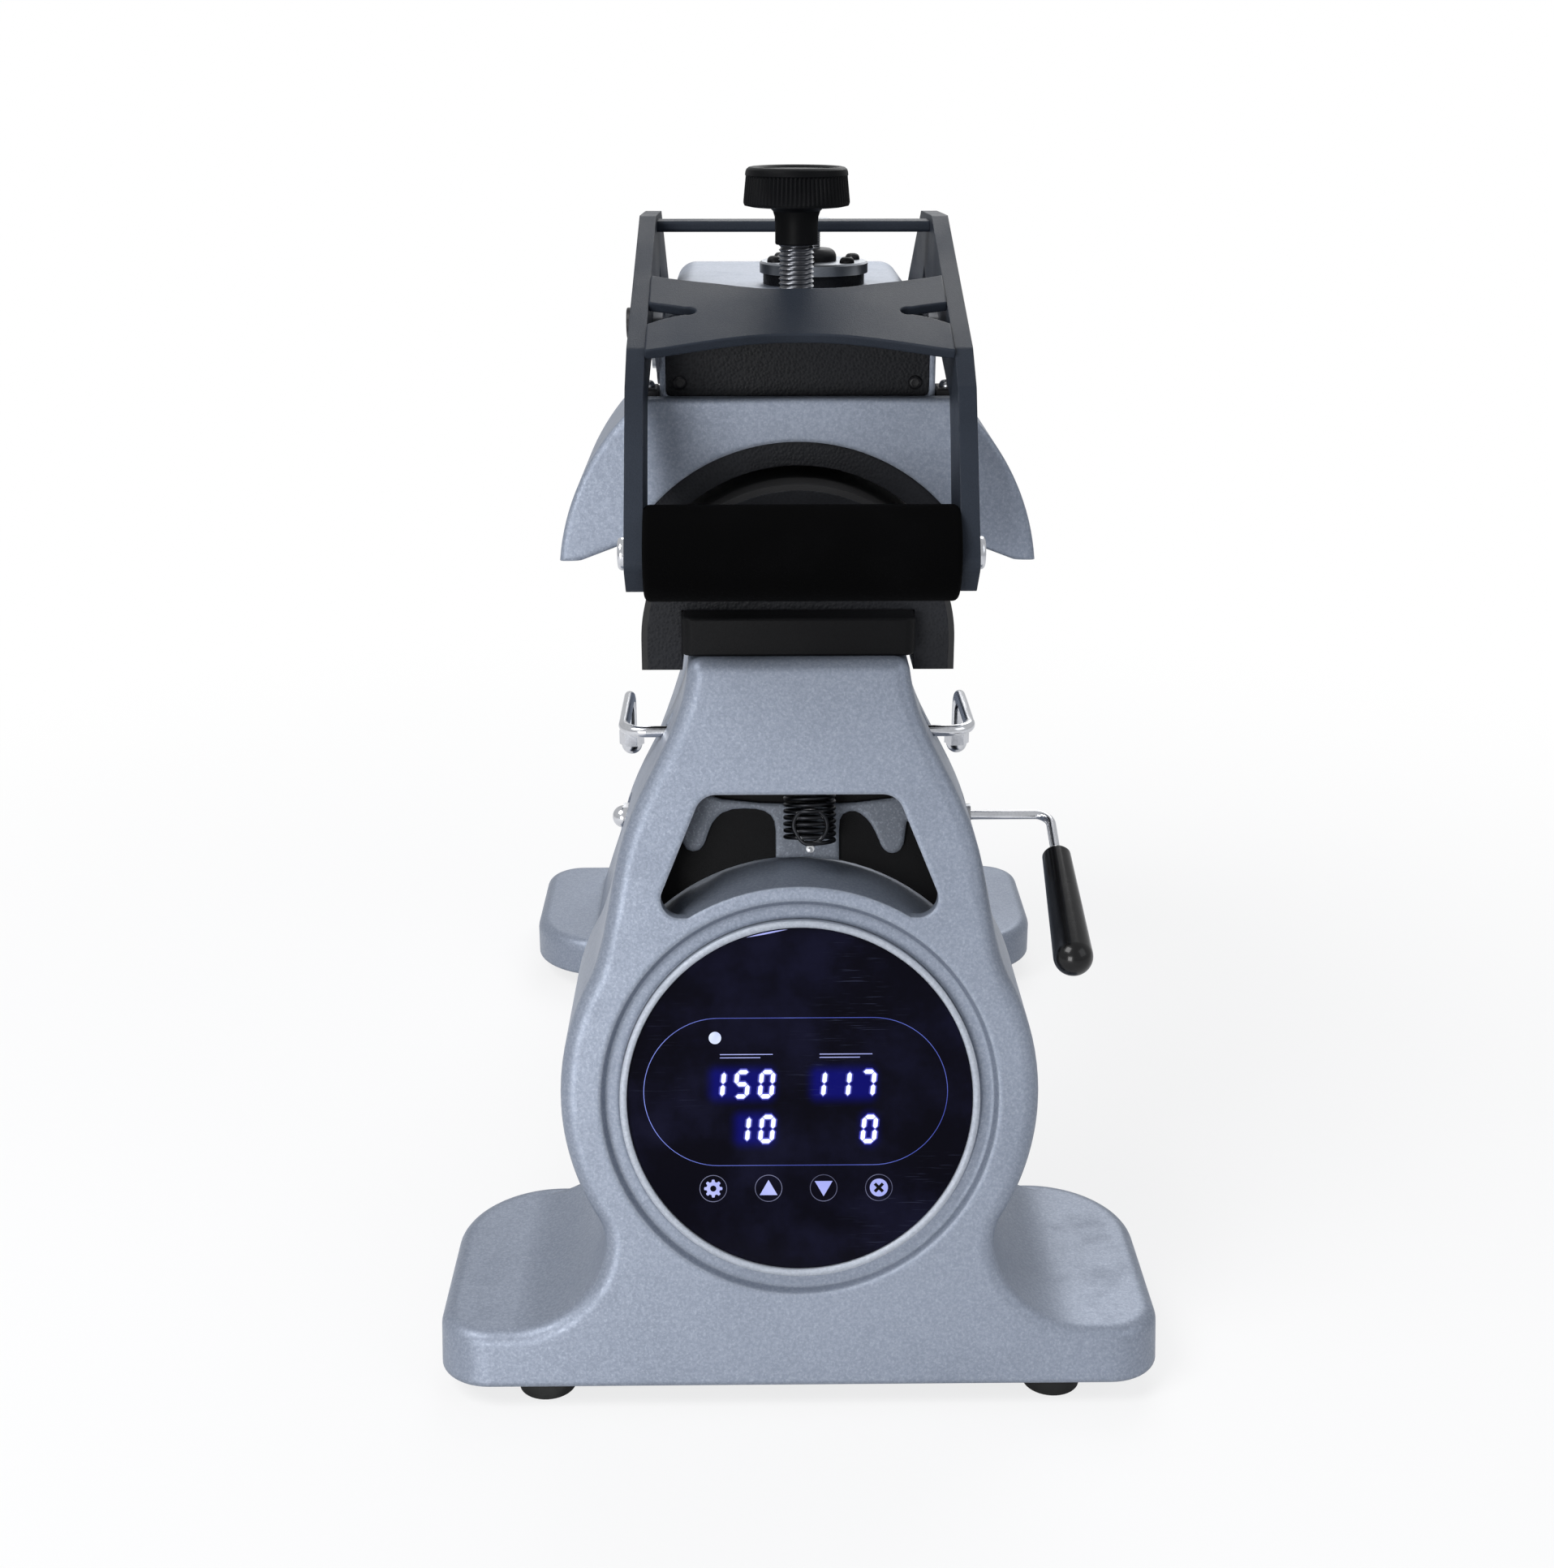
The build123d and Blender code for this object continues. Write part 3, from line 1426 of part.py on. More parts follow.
# ---------------------------------------------------------------- main hinge
with BuildPart() as hinge_bushes:
    for side in (-1, 1):
        with BuildSketch(arm_side(side * 2)):
            with Locations(side_point(pivot_setback, pivot_height)):
                Circle(bush_outer_radius)
                Circle(pin_radius, mode=Mode.SUBTRACT)
        extrude(amount=side * (arm_half_width - arm_wall - 2 - glass_gap))
write(hinge_bushes, "hinge_bushes")

pin_end = yoke_inner + yoke_thickness + 5
with BuildPart() as hinge_pin:
    with BuildSketch(arm_side(-pin_end)):
        with Locations(side_point(pivot_setback, pivot_height)):
            Circle(pin_radius)
    extrude(amount=2 * pin_end)
    chamfer(hinge_pin.edges(), 1)
write(hinge_pin, "hinge_pin")

with BuildPart() as pin_collars:
    for side in (-1, 1):
        with BuildSketch(arm_side(side * (yoke_inner + yoke_thickness + seat_gap))):
            with Locations(side_point(pivot_setback, pivot_height)):
                Circle(pin_radius + 5)
                Circle(pin_radius, mode=Mode.SUBTRACT)
        extrude(amount=side * 3)
write(pin_collars, "pin_collars")

lift_wire = 1.4
lift_radius = (bush_outer_radius + lift_wire + glass_gap) / cos(radians(15))
with BuildPart() as lift_springs:
    for side in (-1, 1):
        lift_plane = Plane(
            origin=(
                side * (tongue_half_width + lift_wire + glass_gap),
                y_at(pivot_setback),
                pivot_height,
            ),
            x_dir=(0, -1, 0),
            z_dir=(side, 0, 0),
        )
        add(wire_along(lift_plane, coil_run(2, 3.4, lift_radius, 12), lift_wire, 5))
write(lift_springs, "lift_springs")

# ---------------------------------------------------------------- rear cover fittings
cover_seat = cover_plane
with BuildPart() as tower_rear_cover:
    with BuildSketch(cover_seat):
        RectangleRounded(cover_width, cover_height, 6)
    extrude(amount=cover_thickness)
    with BuildSketch(cover_seat):
        with Locations((-16, inlet_drop)):
            Rectangle(inlet_width + 2 * glass_gap, inlet_height + 2 * glass_gap)
        with Locations((24, inlet_drop)):
            Circle(6.5)
        with Locations((0, rocker_rise)):
            Rectangle(30.6, 22.6)
    extrude(amount=cover_thickness, mode=Mode.SUBTRACT)
write(tower_rear_cover, "tower_rear_cover")

with BuildPart() as power_inlet:
    with BuildSketch(cover_seat.offset(-22)):
        with Locations((-16, inlet_drop)):
            Rectangle(inlet_width, inlet_height)
    extrude(amount=22 + cover_thickness)
    with BuildSketch(cover_seat.offset(cover_thickness)):
        with Locations((-16, inlet_drop)):
            RectangleRounded(inlet_width + 10, inlet_height + 5, 3)
    extrude(amount=2)
    with BuildSketch(cover_seat.offset(cover_thickness + 2)) as inlet_mouth:
        with Locations((-16, inlet_drop)):
            Rectangle(24.2, 16.2)
        chamfer(inlet_mouth.vertices().group_by(Axis.Y)[-1], 4)
    extrude(amount=-17, mode=Mode.SUBTRACT)
    with BuildSketch(cover_seat.offset(cover_thickness - 15)):
        with Locations((-23, inlet_drop - 2), (-9, inlet_drop - 2), (-16, inlet_drop + 2)):
            Rectangle(2, 4)
    extrude(amount=12)
write(power_inlet, "power_inlet")

with BuildPart() as fuse_holder:
    with BuildSketch(cover_seat.offset(-24)):
        with Locations((24, inlet_drop)):
            Circle(6.2)
    extrude(amount=24 + cover_thickness)
    with BuildSketch(cover_seat.offset(cover_thickness)):
        with Locations((24, inlet_drop)):
            Circle(8)
    extrude(amount=7)
    with BuildSketch(cover_seat.offset(cover_thickness + 7)):
        with Locations((24, inlet_drop)):
            Rectangle(10, 2)
    extrude(amount=-2, mode=Mode.SUBTRACT)
write(fuse_holder, "fuse_holder")

with BuildPart() as rocker_frame:
    with BuildSketch(cover_seat.offset(-16)):
        with Locations((0, rocker_rise)):
            Rectangle(30, 22)
    extrude(amount=16 + cover_thickness)
    with BuildSketch(cover_seat.offset(cover_thickness)):
        with Locations((0, rocker_rise)):
            RectangleRounded(34, 26, 2)
    extrude(amount=2)
    with BuildSketch(cover_seat.offset(cover_thickness + 2)):
        with Locations((0, rocker_rise)):
            Rectangle(26.6, 18)
    extrude(amount=-14, mode=Mode.SUBTRACT)
write(rocker_frame, "rocker_frame")

rocker_pivot = Plane(
    origin=cover_seat.from_local_coords((0, rocker_rise, cover_thickness - 3)),
    x_dir=(-1, 0, 0),
    z_dir=cover_seat.z_dir,
)
rocker_side = Plane(
    origin=rocker_pivot.origin,
    x_dir=rocker_pivot.y_dir,
    z_dir=rocker_pivot.x_dir,
)
with BuildPart() as power_rocker:
    with BuildSketch(rocker_side.offset(-13)):
        with BuildLine():
            Polyline((-8.2, 3.6), (0, 5.2), (8.2, 8.4), (8.2, -2), (-8.2, -2), close=True)
        make_face()
    extrude(amount=26)
write(power_rocker, "power_rocker")

# ---------------------------------------------------------------- base beam and feet
beam_bottom = rubber_height + bottom_plate_thickness
beam_start = foot_length
beam_length = base_depth - 2 * foot_length
with BuildPart() as base_beam:
    with BuildSketch(Plane.XY.offset(beam_bottom)):
        with Locations((0, y_at(beam_start))):
            Rectangle(2 * beam_half_width, beam_length, align=(Align.CENTER, Align.MIN))
    extrude(amount=beam_height - bottom_plate_thickness)
    fillet(base_beam.edges().filter_by(Axis.Y).group_by(Axis.Z)[-1], foot_edge_radius)
    with BuildSketch(Plane.XY.offset(beam_bottom)):
        with Locations((0, y_at(beam_start) + beam_wall)):
            Rectangle(
                2 * (beam_half_width - beam_wall),
                beam_length - 2 * beam_wall,
                align=(Align.CENTER, Align.MIN),
            )
    extrude(amount=beam_height - bottom_plate_thickness - beam_wall, mode=Mode.SUBTRACT)
write(base_beam, "base_beam")

with BuildPart() as beam_bottom_plate:
    with BuildSketch(Plane.XY.offset(rubber_height)):
        with Locations((0, y_at(beam_start) + glass_gap)):
            Rectangle(
                2 * beam_half_width - 2,
                beam_length - 2 * glass_gap,
                align=(Align.CENTER, Align.MIN),
            )
    extrude(amount=bottom_plate_thickness)
write(beam_bottom_plate, "beam_bottom_plate")

with BuildPart() as power_board:
    with BuildSketch(Plane.XY.offset(beam_bottom)):
        with Locations((0, y_at(320))):
            with GridLocations(90, 130, 2, 2):
                Circle(3.5)
    extrude(amount=7)
    with BuildSketch(Plane.XY.offset(beam_bottom + 6)):
        with Locations((0, y_at(320))):
            Rectangle(100, 140)
    extrude(amount=board_thickness)
    with BuildSketch(Plane.XY.offset(beam_bottom + 6 + board_thickness)):
        with Locations((-22, y_at(292))):
            Rectangle(42, 50)
        with Locations((24, y_at(300))):
            Rectangle(30, 34)
        with Locations((10, y_at(360))):
            Circle(9)
    extrude(amount=24)
write(power_board, "power_board")

feet = [
    (side * (base_width / 2 - foot_inset_x), y_at(setback))
    for side in (-1, 1)
    for setback in (rubber_inset, base_depth - rubber_inset)
]
with BuildPart() as rubber_feet:
    with BuildSketch(Plane.XY):
        with Locations(*feet):
            Circle(rubber_radius - 1.5)
    extrude(amount=rubber_height, taper=-5)
    with BuildSketch(Plane.XY):
        with Locations(*feet):
            Circle(5.6)
    extrude(amount=6, mode=Mode.SUBTRACT)
    with BuildSketch(Plane.XY):
        with Locations(*feet):
            Circle(screw_radius / 2 + 0.5)
    extrude(amount=rubber_height, mode=Mode.SUBTRACT)
write(rubber_feet, "rubber_feet")
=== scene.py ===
from math import atan2, cos, pi, radians, sin

import bmesh
import bpy
from mathutils import Matrix, Vector
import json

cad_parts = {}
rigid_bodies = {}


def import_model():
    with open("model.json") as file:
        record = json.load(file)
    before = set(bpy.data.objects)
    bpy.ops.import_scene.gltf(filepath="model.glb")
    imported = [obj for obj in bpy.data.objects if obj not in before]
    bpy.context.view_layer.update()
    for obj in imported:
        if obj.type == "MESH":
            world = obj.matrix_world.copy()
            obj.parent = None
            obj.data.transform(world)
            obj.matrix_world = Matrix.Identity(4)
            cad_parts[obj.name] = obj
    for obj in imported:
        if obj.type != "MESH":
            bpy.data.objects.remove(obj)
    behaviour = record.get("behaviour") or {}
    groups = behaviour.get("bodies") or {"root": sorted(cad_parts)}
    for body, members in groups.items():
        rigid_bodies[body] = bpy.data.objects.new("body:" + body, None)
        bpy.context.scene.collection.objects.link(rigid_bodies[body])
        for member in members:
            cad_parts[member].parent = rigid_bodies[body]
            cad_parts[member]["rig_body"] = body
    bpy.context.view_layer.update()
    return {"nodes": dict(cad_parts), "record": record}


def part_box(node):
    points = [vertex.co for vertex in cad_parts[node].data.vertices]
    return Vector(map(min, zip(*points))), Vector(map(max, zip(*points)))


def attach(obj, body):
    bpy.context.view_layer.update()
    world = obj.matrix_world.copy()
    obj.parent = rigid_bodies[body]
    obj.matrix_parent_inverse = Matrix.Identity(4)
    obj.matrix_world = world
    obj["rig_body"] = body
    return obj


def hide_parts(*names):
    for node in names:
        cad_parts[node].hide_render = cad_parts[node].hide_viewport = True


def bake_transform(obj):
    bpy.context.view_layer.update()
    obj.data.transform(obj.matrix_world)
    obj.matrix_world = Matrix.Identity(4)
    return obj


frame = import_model()
nodes = frame["nodes"]

# %% [markdown]
# ## The camera
# A machine of this height is seen from a little above, so that the display, the lever
# and the top of the arm all show. A long lens keeps its upright edges nearly parallel.
# %% Camera
eye = bpy.data.objects.new("camera", bpy.data.cameras.new("camera"))
bpy.context.scene.collection.objects.link(eye)
bpy.context.scene.camera = eye
eye.location = (-0.02365, -1.2241, 0.662)
eye.rotation_euler = (radians(70.5), 0, -radians(0.7236))
eye.data.lens = 46.58
eye.data.sensor_width = 36
eye.data.sensor_fit = "AUTO"
eye.data.clip_start, eye.data.clip_end = 0.01, 100
print("camera at", tuple(eye.location))

# %% [markdown]
# ## A field that does arithmetic
# A finish is a sum: paint here, flakes there, wear on the edges. Drawn as nodes, such a
# sum fills a screen, so one small class wraps a socket and lets Python's own signs add
# the Math nodes. Its `node` method makes every other node from its type, its settings
# and what goes into its sockets.
# %% Field
class Field:
    """One output socket of a node tree, with arithmetic on it."""

    def __init__(self, tree, socket=None):
        self.tree, self.socket = tree, socket

    def node(self, kind, settings=None, sockets=None, output=0):
        made = self.tree.nodes.new(kind)
        for name, value in (settings or {}).items():
            setattr(made, name, value)
        for name, value in (sockets or {}).items():
            if isinstance(value, Field):
                self.tree.links.new(value.socket, made.inputs[name])
            else:
                made.inputs[name].default_value = value
        return Field(self.tree, made.outputs[output])

    def math(self, operation, *values, clamp=False):
        settings = {"operation": operation, "use_clamp": clamp}
        return self.node("ShaderNodeMath", settings, dict(enumerate((self, *values))))

    def __add__(self, other):
        return self.math("ADD", other)

    __radd__ = __add__

    def __mul__(self, other):
        return self.math("MULTIPLY", other)

    __rmul__ = __mul__

    def __sub__(self, other):
        return self.math("SUBTRACT", other)

    def __rsub__(self, other):
        return (self * -1) + other

    def __pow__(self, other):
        return self.math("POWER", other)

    def clamped(self):
        return self.math("ADD", 0.0, clamp=True)

    def smooth(self, low, high):
        """0 below low, 1 above high, and an even rise between them."""
        sockets = {"Value": self, "From Min": low, "From Max": high}
        return self.node("ShaderNodeMapRange", {"interpolation_type": "SMOOTHSTEP"}, sockets)

    def blend(self, first, second):
        """Colour first where this field is 0, and second where it is 1."""
        return self.node("ShaderNodeMix", {"data_type": "RGBA"}, {0: self, 6: first, 7: second}, 2)


def rgb(*parts):
    return (*parts, 1.0)


print("Field adds Math nodes:", Field.__doc__)

# %% [markdown]
# ## What every finish is made from
# Real surfaces differ in a few ways that repeat: patches that are a shade lighter, a
# grain that catches the light, and corners rubbed bare. A corner is found by asking for
# the normal that the surface would have with its edges rounded. Where that normal
# leaves the true one, the surface turns, and hands and tools touch it. On the castings
# the same corners are painted paler: a painted highlight.
# %% Places, grain and edges
def start(name):
    """A material, its shader, and the place on the surface in metres."""
    material = bpy.data.materials.new(name)
    material.use_nodes = True
    tree = material.node_tree
    shader = tree.nodes["Principled BSDF"]
    place = Field(tree).node("ShaderNodeTexCoord", output=3)
    return material, shader, place


def grain(place, scale, detail=2.0, rough=0.5):
    """Soft noise around 0.5 with scale features to the metre."""
    sockets = {"Vector": place, "Scale": scale, "Detail": detail, "Roughness": rough}
    return place.node("ShaderNodeTexNoise", None, sockets)


def cells(place, scale):
    """Distance to the nearest of scattered points, for dimples and flakes."""
    return place.node("ShaderNodeTexVoronoi", None, {"Vector": place, "Scale": scale})


def stretched(place, x, y, z):
    """The place with its axes scaled, which draws noise out into brushing."""
    return place.node("ShaderNodeVectorMath", {"operation": "MULTIPLY"}, {0: place, 1: (x, y, z)})


def edge_wear_and_highlight(place, radius, low=0.02, high=0.25):
    """1 on corners sharper than the radius, 0 on open surface."""
    soft = place.node("ShaderNodeBevel", {"samples": 4}, {"Radius": radius})
    true = place.node("ShaderNodeNewGeometry", output=1)
    turn = place.node("ShaderNodeVectorMath", {"operation": "DOT_PRODUCT"}, {0: soft, 1: true}, 1)
    return (1 - turn).smooth(low, high)


def raised(height, strength, distance, under=None):
    """The normal of a surface that carries this height."""
    sockets = {"Height": height, "Strength": strength, "Distance": distance}
    if under is not None:
        sockets["Normal"] = under
    return height.node("ShaderNodeBump", None, sockets)


def feed(shader, **looks):
    """Set or link the shader's sockets by name, with _ for a space."""
    for name, value in looks.items():
        socket = shader.inputs[name.replace("_", " ")]
        if isinstance(value, Field):
            value.tree.links.new(value.socket, socket)
        else:
            socket.default_value = value


print("helpers for places, grain, edges and normals are ready")

# %% [markdown]
# ## Casting paint
# The pedestal, tower, arm and head are sand castings in a silver stove paint. It has
# a blue-grey body, fine bright flakes under the skin, and the light swell that sprayed
# paint dries with. Noise at three sizes gives patches, swell and flakes, and the corners
# are painted paler, a painted highlight along the rounded edges.
# %% Casting paint
def rounded(place, radius, samples=6):
    """The normal that the surface would have with its corners rounded."""
    return place.node("ShaderNodeBevel", {"samples": samples}, {"Radius": radius})


def casting_paint(name, body, pale, rough=0.42, swell=0.00011):
    material, shader, place = start(name)
    patches = grain(place, 9, 3).smooth(0.3, 0.7)
    peel = grain(place, 620, 2, 0.6).smooth(0.36, 0.66)
    flakes = cells(place, 1100).smooth(0.20, 0.05) * 0.5 + grain(place, 850, 1).smooth(0.5, 0.72) * 0.5
    # edge marks the corners, which are painted paler below as a painted highlight
    edge = edge_wear_and_highlight(place, 0.0022)
    dust = grain(place, 60, 4).smooth(0.45, 0.8)
    paint = (patches * 0.25 + peel * 0.38).clamped().blend(rgb(*body), rgb(*pale))
    paint = (flakes * 0.26).blend(paint, rgb(0.60, 0.65, 0.74))
    # paler corners: a painted highlight along the rounded edges
    paint = (edge * 0.30).blend(paint, rgb(0.56, 0.61, 0.70))
    height = grain(place, 300, 2) + grain(place, 800, 1) * 0.6
    feed(shader, Base_Color=paint, Metallic=flakes * 0.2 + 0.42,
         Roughness=(dust * 0.10 + patches * 0.06) + rough,
         Normal=raised(height, 0.6, swell, rounded(place, 0.0034)), Coat_Weight=0.08, Coat_Roughness=0.3)
    return material


paints = {
    "hammer_silver": casting_paint("silver_casting_paint", (0.185, 0.214, 0.272), (0.300, 0.336, 0.410)),
    "grey_bracket": casting_paint("grey_bracket_paint", (0.11, 0.125, 0.155), (0.15, 0.17, 0.20)),
}
print("casting paints:", sorted(paints))

# %% [markdown]
# ## Powder coats and blacks
# The lever plates, platen and front cover are plate steel in black powder coat. Baked
# powder flows into a fine orange peel, or into a coarse pebble where it hides fingers
# on the hot parts. One recipe serves both: the pebble is larger and deeper.
# %% Powder coats
def powder_coat(name, body, pale, pebble, depth, rough, wear=0.25, gloss=0.2):
    material, shader, place = start(name)
    stones = cells(place, pebble).smooth(0.0, 0.8)
    haze = grain(place, 14, 4).smooth(0.35, 0.7)
    edge = edge_wear_and_highlight(place, 0.0012, 0.03, 0.3) * grain(place, 220, 3).smooth(0.35, 0.65)
    coat = (haze * 0.6 + stones * 0.3).clamped().blend(rgb(*body), rgb(*pale))
    coat = (edge * wear).blend(coat, rgb(0.16, 0.165, 0.18))
    height = (1 - stones) + grain(place, pebble * 2.2, 2) * 0.5
    feed(shader, Base_Color=coat, Specular_IOR_Level=gloss, Roughness=haze * 0.12 + (rough - stones * 0.08),
         Normal=raised(height, 0.6, depth, rounded(place, 0.0009, 4)))
    return material


paints["charcoal_plate"] = powder_coat(
    "charcoal_lever_coat", (0.0165, 0.0205, 0.0285), (0.026, 0.032, 0.044), 1500, 0.00006, 0.50, 0.2, 0.09)
paints["textured_black"] = powder_coat(
    "pebbled_black_coat", (0.007, 0.0075, 0.009), (0.017, 0.018, 0.022), 620, 0.00020, 0.50, 0.2, 0.15)
paints["black_plate"] = powder_coat(
    "fine_black_coat", (0.003, 0.003, 0.0035), (0.007, 0.0072, 0.008), 1400, 0.00005, 0.46, 0.15, 0.08)
paints["black_panel"] = powder_coat(
    "satin_black_paint", (0.0012, 0.0012, 0.0015), (0.003, 0.003, 0.0035), 1800, 0.00003, 0.5, 0.1, 0.05)
print("powder coats:", [n for n in paints if n not in ("hammer_silver", "grey_bracket")])

# %% [markdown]
# ## Bare metals
# Turned steel shows rings, ground steel shows straight lines, chrome shows next to
# nothing but smears. All are fully metallic, so their colour is the colour of what they
# mirror, and the life is in how rough they are from place to place.
# %% Metals
def bare_metal(name, colour, dark, rough, axes, lines=0.00001, stain=0.35):
    material, shader, place = start(name)
    drawn = grain(stretched(place, *axes), 1.0, 3)
    smears = grain(place, 45, 4).smooth(0.4, 0.75)
    edge = edge_wear_and_highlight(place, 0.0008, 0.03, 0.3)
    tone = (smears * stain + drawn.smooth(0.4, 0.7) * 0.2).clamped().blend(rgb(*colour), rgb(*dark))
    tone = (edge * 0.4).blend(tone, rgb(0.75, 0.76, 0.78))
    feed(shader, Base_Color=tone, Metallic=1.0, Roughness=smears * 0.12 + drawn * 0.08 + rough,
         Normal=raised(drawn, 0.5, lines))
    return material


ringed, lengthwise, even = (300, 300, 3000), (120, 2400, 2400), (700, 700, 700)
paints.update({
    "bright_chrome": bare_metal(
        "bright_chrome", (0.66, 0.67, 0.70), (0.42, 0.43, 0.46), 0.10, even, 0.000002),
    "turned_steel": bare_metal("turned_steel", (0.34, 0.35, 0.37), (0.18, 0.185, 0.20), 0.26, ringed),
    "magnet_steel": bare_metal("ground_steel", (0.30, 0.31, 0.33), (0.17, 0.17, 0.18), 0.34, lengthwise),
    "satin_steel": bare_metal("satin_steel", (0.30, 0.32, 0.35), (0.17, 0.18, 0.20), 0.30, lengthwise),
    "spring_steel": bare_metal(
        "spring_wire", (0.024, 0.025, 0.028), (0.008, 0.0085, 0.010), 0.30, lengthwise),
    "zinc_plate": bare_metal("zinc_plate", (0.52, 0.53, 0.55), (0.36, 0.38, 0.38), 0.34, even, 0.00002),
    "bronze_bush": bare_metal(
        "sintered_bronze", (0.42, 0.27, 0.12), (0.24, 0.15, 0.07), 0.38, even, 0.00003),
})
print("metals:", len(paints), "finishes so far")

# %% [markdown]
# ## Plastics, rubbers and boards
# Moulded pieces are one colour through and through. What tells them apart is the skin:
# glossy on the crank's grip, dull and pored on the foam of the lever, and chalky with
# dust on the feet. Skin and dust are again noise, at each material's own size.
# %% Plastics and rubbers
def moulded(name, colour, dust, rough, pores=900, depth=0.00003, dusting=0.3, coat=0.0, gloss=0.25):
    material, shader, place = start(name)
    skin = grain(place, pores, 3)
    cloud = grain(place, 30, 4).smooth(0.45, 0.8)
    edge = edge_wear_and_highlight(place, 0.001, 0.03, 0.3)
    tone = (cloud * dusting).blend(rgb(*colour), rgb(*dust))
    tone = (edge * 0.25).blend(tone, rgb(*(0.5 * a + 0.5 * b for a, b in zip(colour, dust))))
    feed(shader, Base_Color=tone, Roughness=cloud * 0.14 + skin * 0.08 + rough, Specular_IOR_Level=gloss,
         Normal=raised(skin, 0.6, depth), Coat_Weight=coat, Coat_Roughness=0.12)
    return material


paints.update({
    "black_plastic": moulded("moulded_black", (0.012, 0.012, 0.014), (0.05, 0.05, 0.055), 0.38),
    "knob_plastic": moulded(
        "knob_black", (0.0025, 0.0027, 0.0033), (0.009, 0.0095, 0.011), 0.42, 1200, gloss=0.06),
    "black_grip": moulded(
        "glossy_grip", (0.003, 0.003, 0.0035), (0.010, 0.010, 0.011), 0.20, 300, 0.00002, 0.2, 0.25,
        gloss=0.2),
    "digit_black": moulded("digit_block", (0.02, 0.02, 0.024), (0.05, 0.05, 0.05), 0.5),
    "rocker_red": moulded("rocker_red", (0.42, 0.02, 0.02), (0.30, 0.05, 0.04), 0.25, coat=0.4),
    "rubber_black": moulded(
        "foot_rubber", (0.012, 0.012, 0.012), (0.07, 0.07, 0.068), 0.62, 500, 0.00008, 0.5),
    "grip_foam": moulded(
        "lever_foam", (0.0010, 0.0010, 0.0011), (0.003, 0.003, 0.0033), 0.85, 1400, 0.00012, 0.5,
        gloss=0.03),
    "silicone_pad": moulded("silicone_pad", (0.02, 0.02, 0.021), (0.045, 0.045, 0.047), 0.55, 700, 0.00004),
    "white_pin": moulded("white_cap", (0.70, 0.71, 0.72), (0.5, 0.5, 0.5), 0.3),
    "insulation_board": moulded("fibre_board", (0.56, 0.52, 0.44), (0.38, 0.35, 0.3), 0.8, 450, 0.0002, 0.5),
})
print("finishes:", len(paints))

# %% [markdown]
# ## Circuit board
# Green lacquer lies over copper tracks. A grid of Voronoi cells read along square
# distances gives straight lanes, which is near enough for a board behind a cover.
# %% Circuit board
def lacquered_board():
    material, shader, place = start("lacquered_board")
    settings = {"distance": "MANHATTAN", "feature": "F1"}
    lanes = place.node("ShaderNodeTexVoronoi", settings, {"Vector": place, "Scale": 160, "Randomness": 0.6})
    track = lanes.smooth(0.30, 0.34) * lanes.smooth(0.48, 0.44)
    cloud = grain(place, 40, 3)
    tone = (cloud * 0.4).blend(rgb(0.008, 0.07, 0.03), rgb(0.015, 0.11, 0.05))
    tone = (track * 0.6).blend(tone, rgb(0.05, 0.20, 0.08))
    feed(shader, Base_Color=tone, Roughness=cloud * 0.1 + 0.22, Normal=raised(track, 0.4, 0.00004))
    return material


paints["circuit_board"] = lacquered_board()
print("board finish:", paints["circuit_board"].name)

# %% [markdown]
# ## The display's face
# The pedestal's face leans back by 15 degrees, and so does the round glass in it. Every
# mark on it is easiest to give in its own plane: across, and up the slope. This helper
# turns such a pair, and a height off the glass, into a place in the machine's frame.
# %% The leaning plane
lean = radians(15)
front, foot_top = -0.332, 0.014
display_up = 0.151
glass_radius = 0.089
glass_sunk = 0.0005
across = Vector((1, 0, 0))
upslope = Vector((0, sin(lean), cos(lean)))
outward = Vector((0, -cos(lean), sin(lean)))
display_centre = Vector((0, front, foot_top)) + upslope * display_up - outward * glass_sunk


def on_glass(x, y, off=0.0):
    return display_centre + across * x + upslope * y + outward * off


print("display centre", [round(v, 4) for v in display_centre])

# %% [markdown]
# ## The glass
# The cover is black printed glass: a dark print seen through a clear gloss, with thumb
# smears, fine scratches, and a blue haze where the digits shine through the print. The
# haze is a soft-edged bar of light along each row of digits, measured in the plane of
# the glass.
# %% Glass material
digit_rows = (  # text, middle of its last figure across and up from the display's centre
    ("150", -0.0172, 0.0079), ("117", 0.0349, 0.0078),
    ("10", -0.0171, -0.0156), ("0", 0.0357, -0.0159),
)
digit_high, digit_wide, digit_step, digit_slant = 0.0150, 0.0082, 0.0127, 0.10


haze_reach = 0.0095


def haze_of(x, y, right, mid_y, count):
    """Soft light round one row of digits, gone at haze_reach from it."""
    half_wide = (count - 1) * digit_step / 2
    mid_x = right - (count - 1) * digit_step / 2
    far_x = ((x - mid_x).math("ABSOLUTE") - half_wide).math("MAXIMUM", 0.0)
    far_y = ((y - mid_y).math("ABSOLUTE") - digit_high * 0.3).math("MAXIMUM", 0.0)
    return (far_x * far_x + far_y * far_y).math("SQRT").smooth(haze_reach, 0.0) ** 2.0


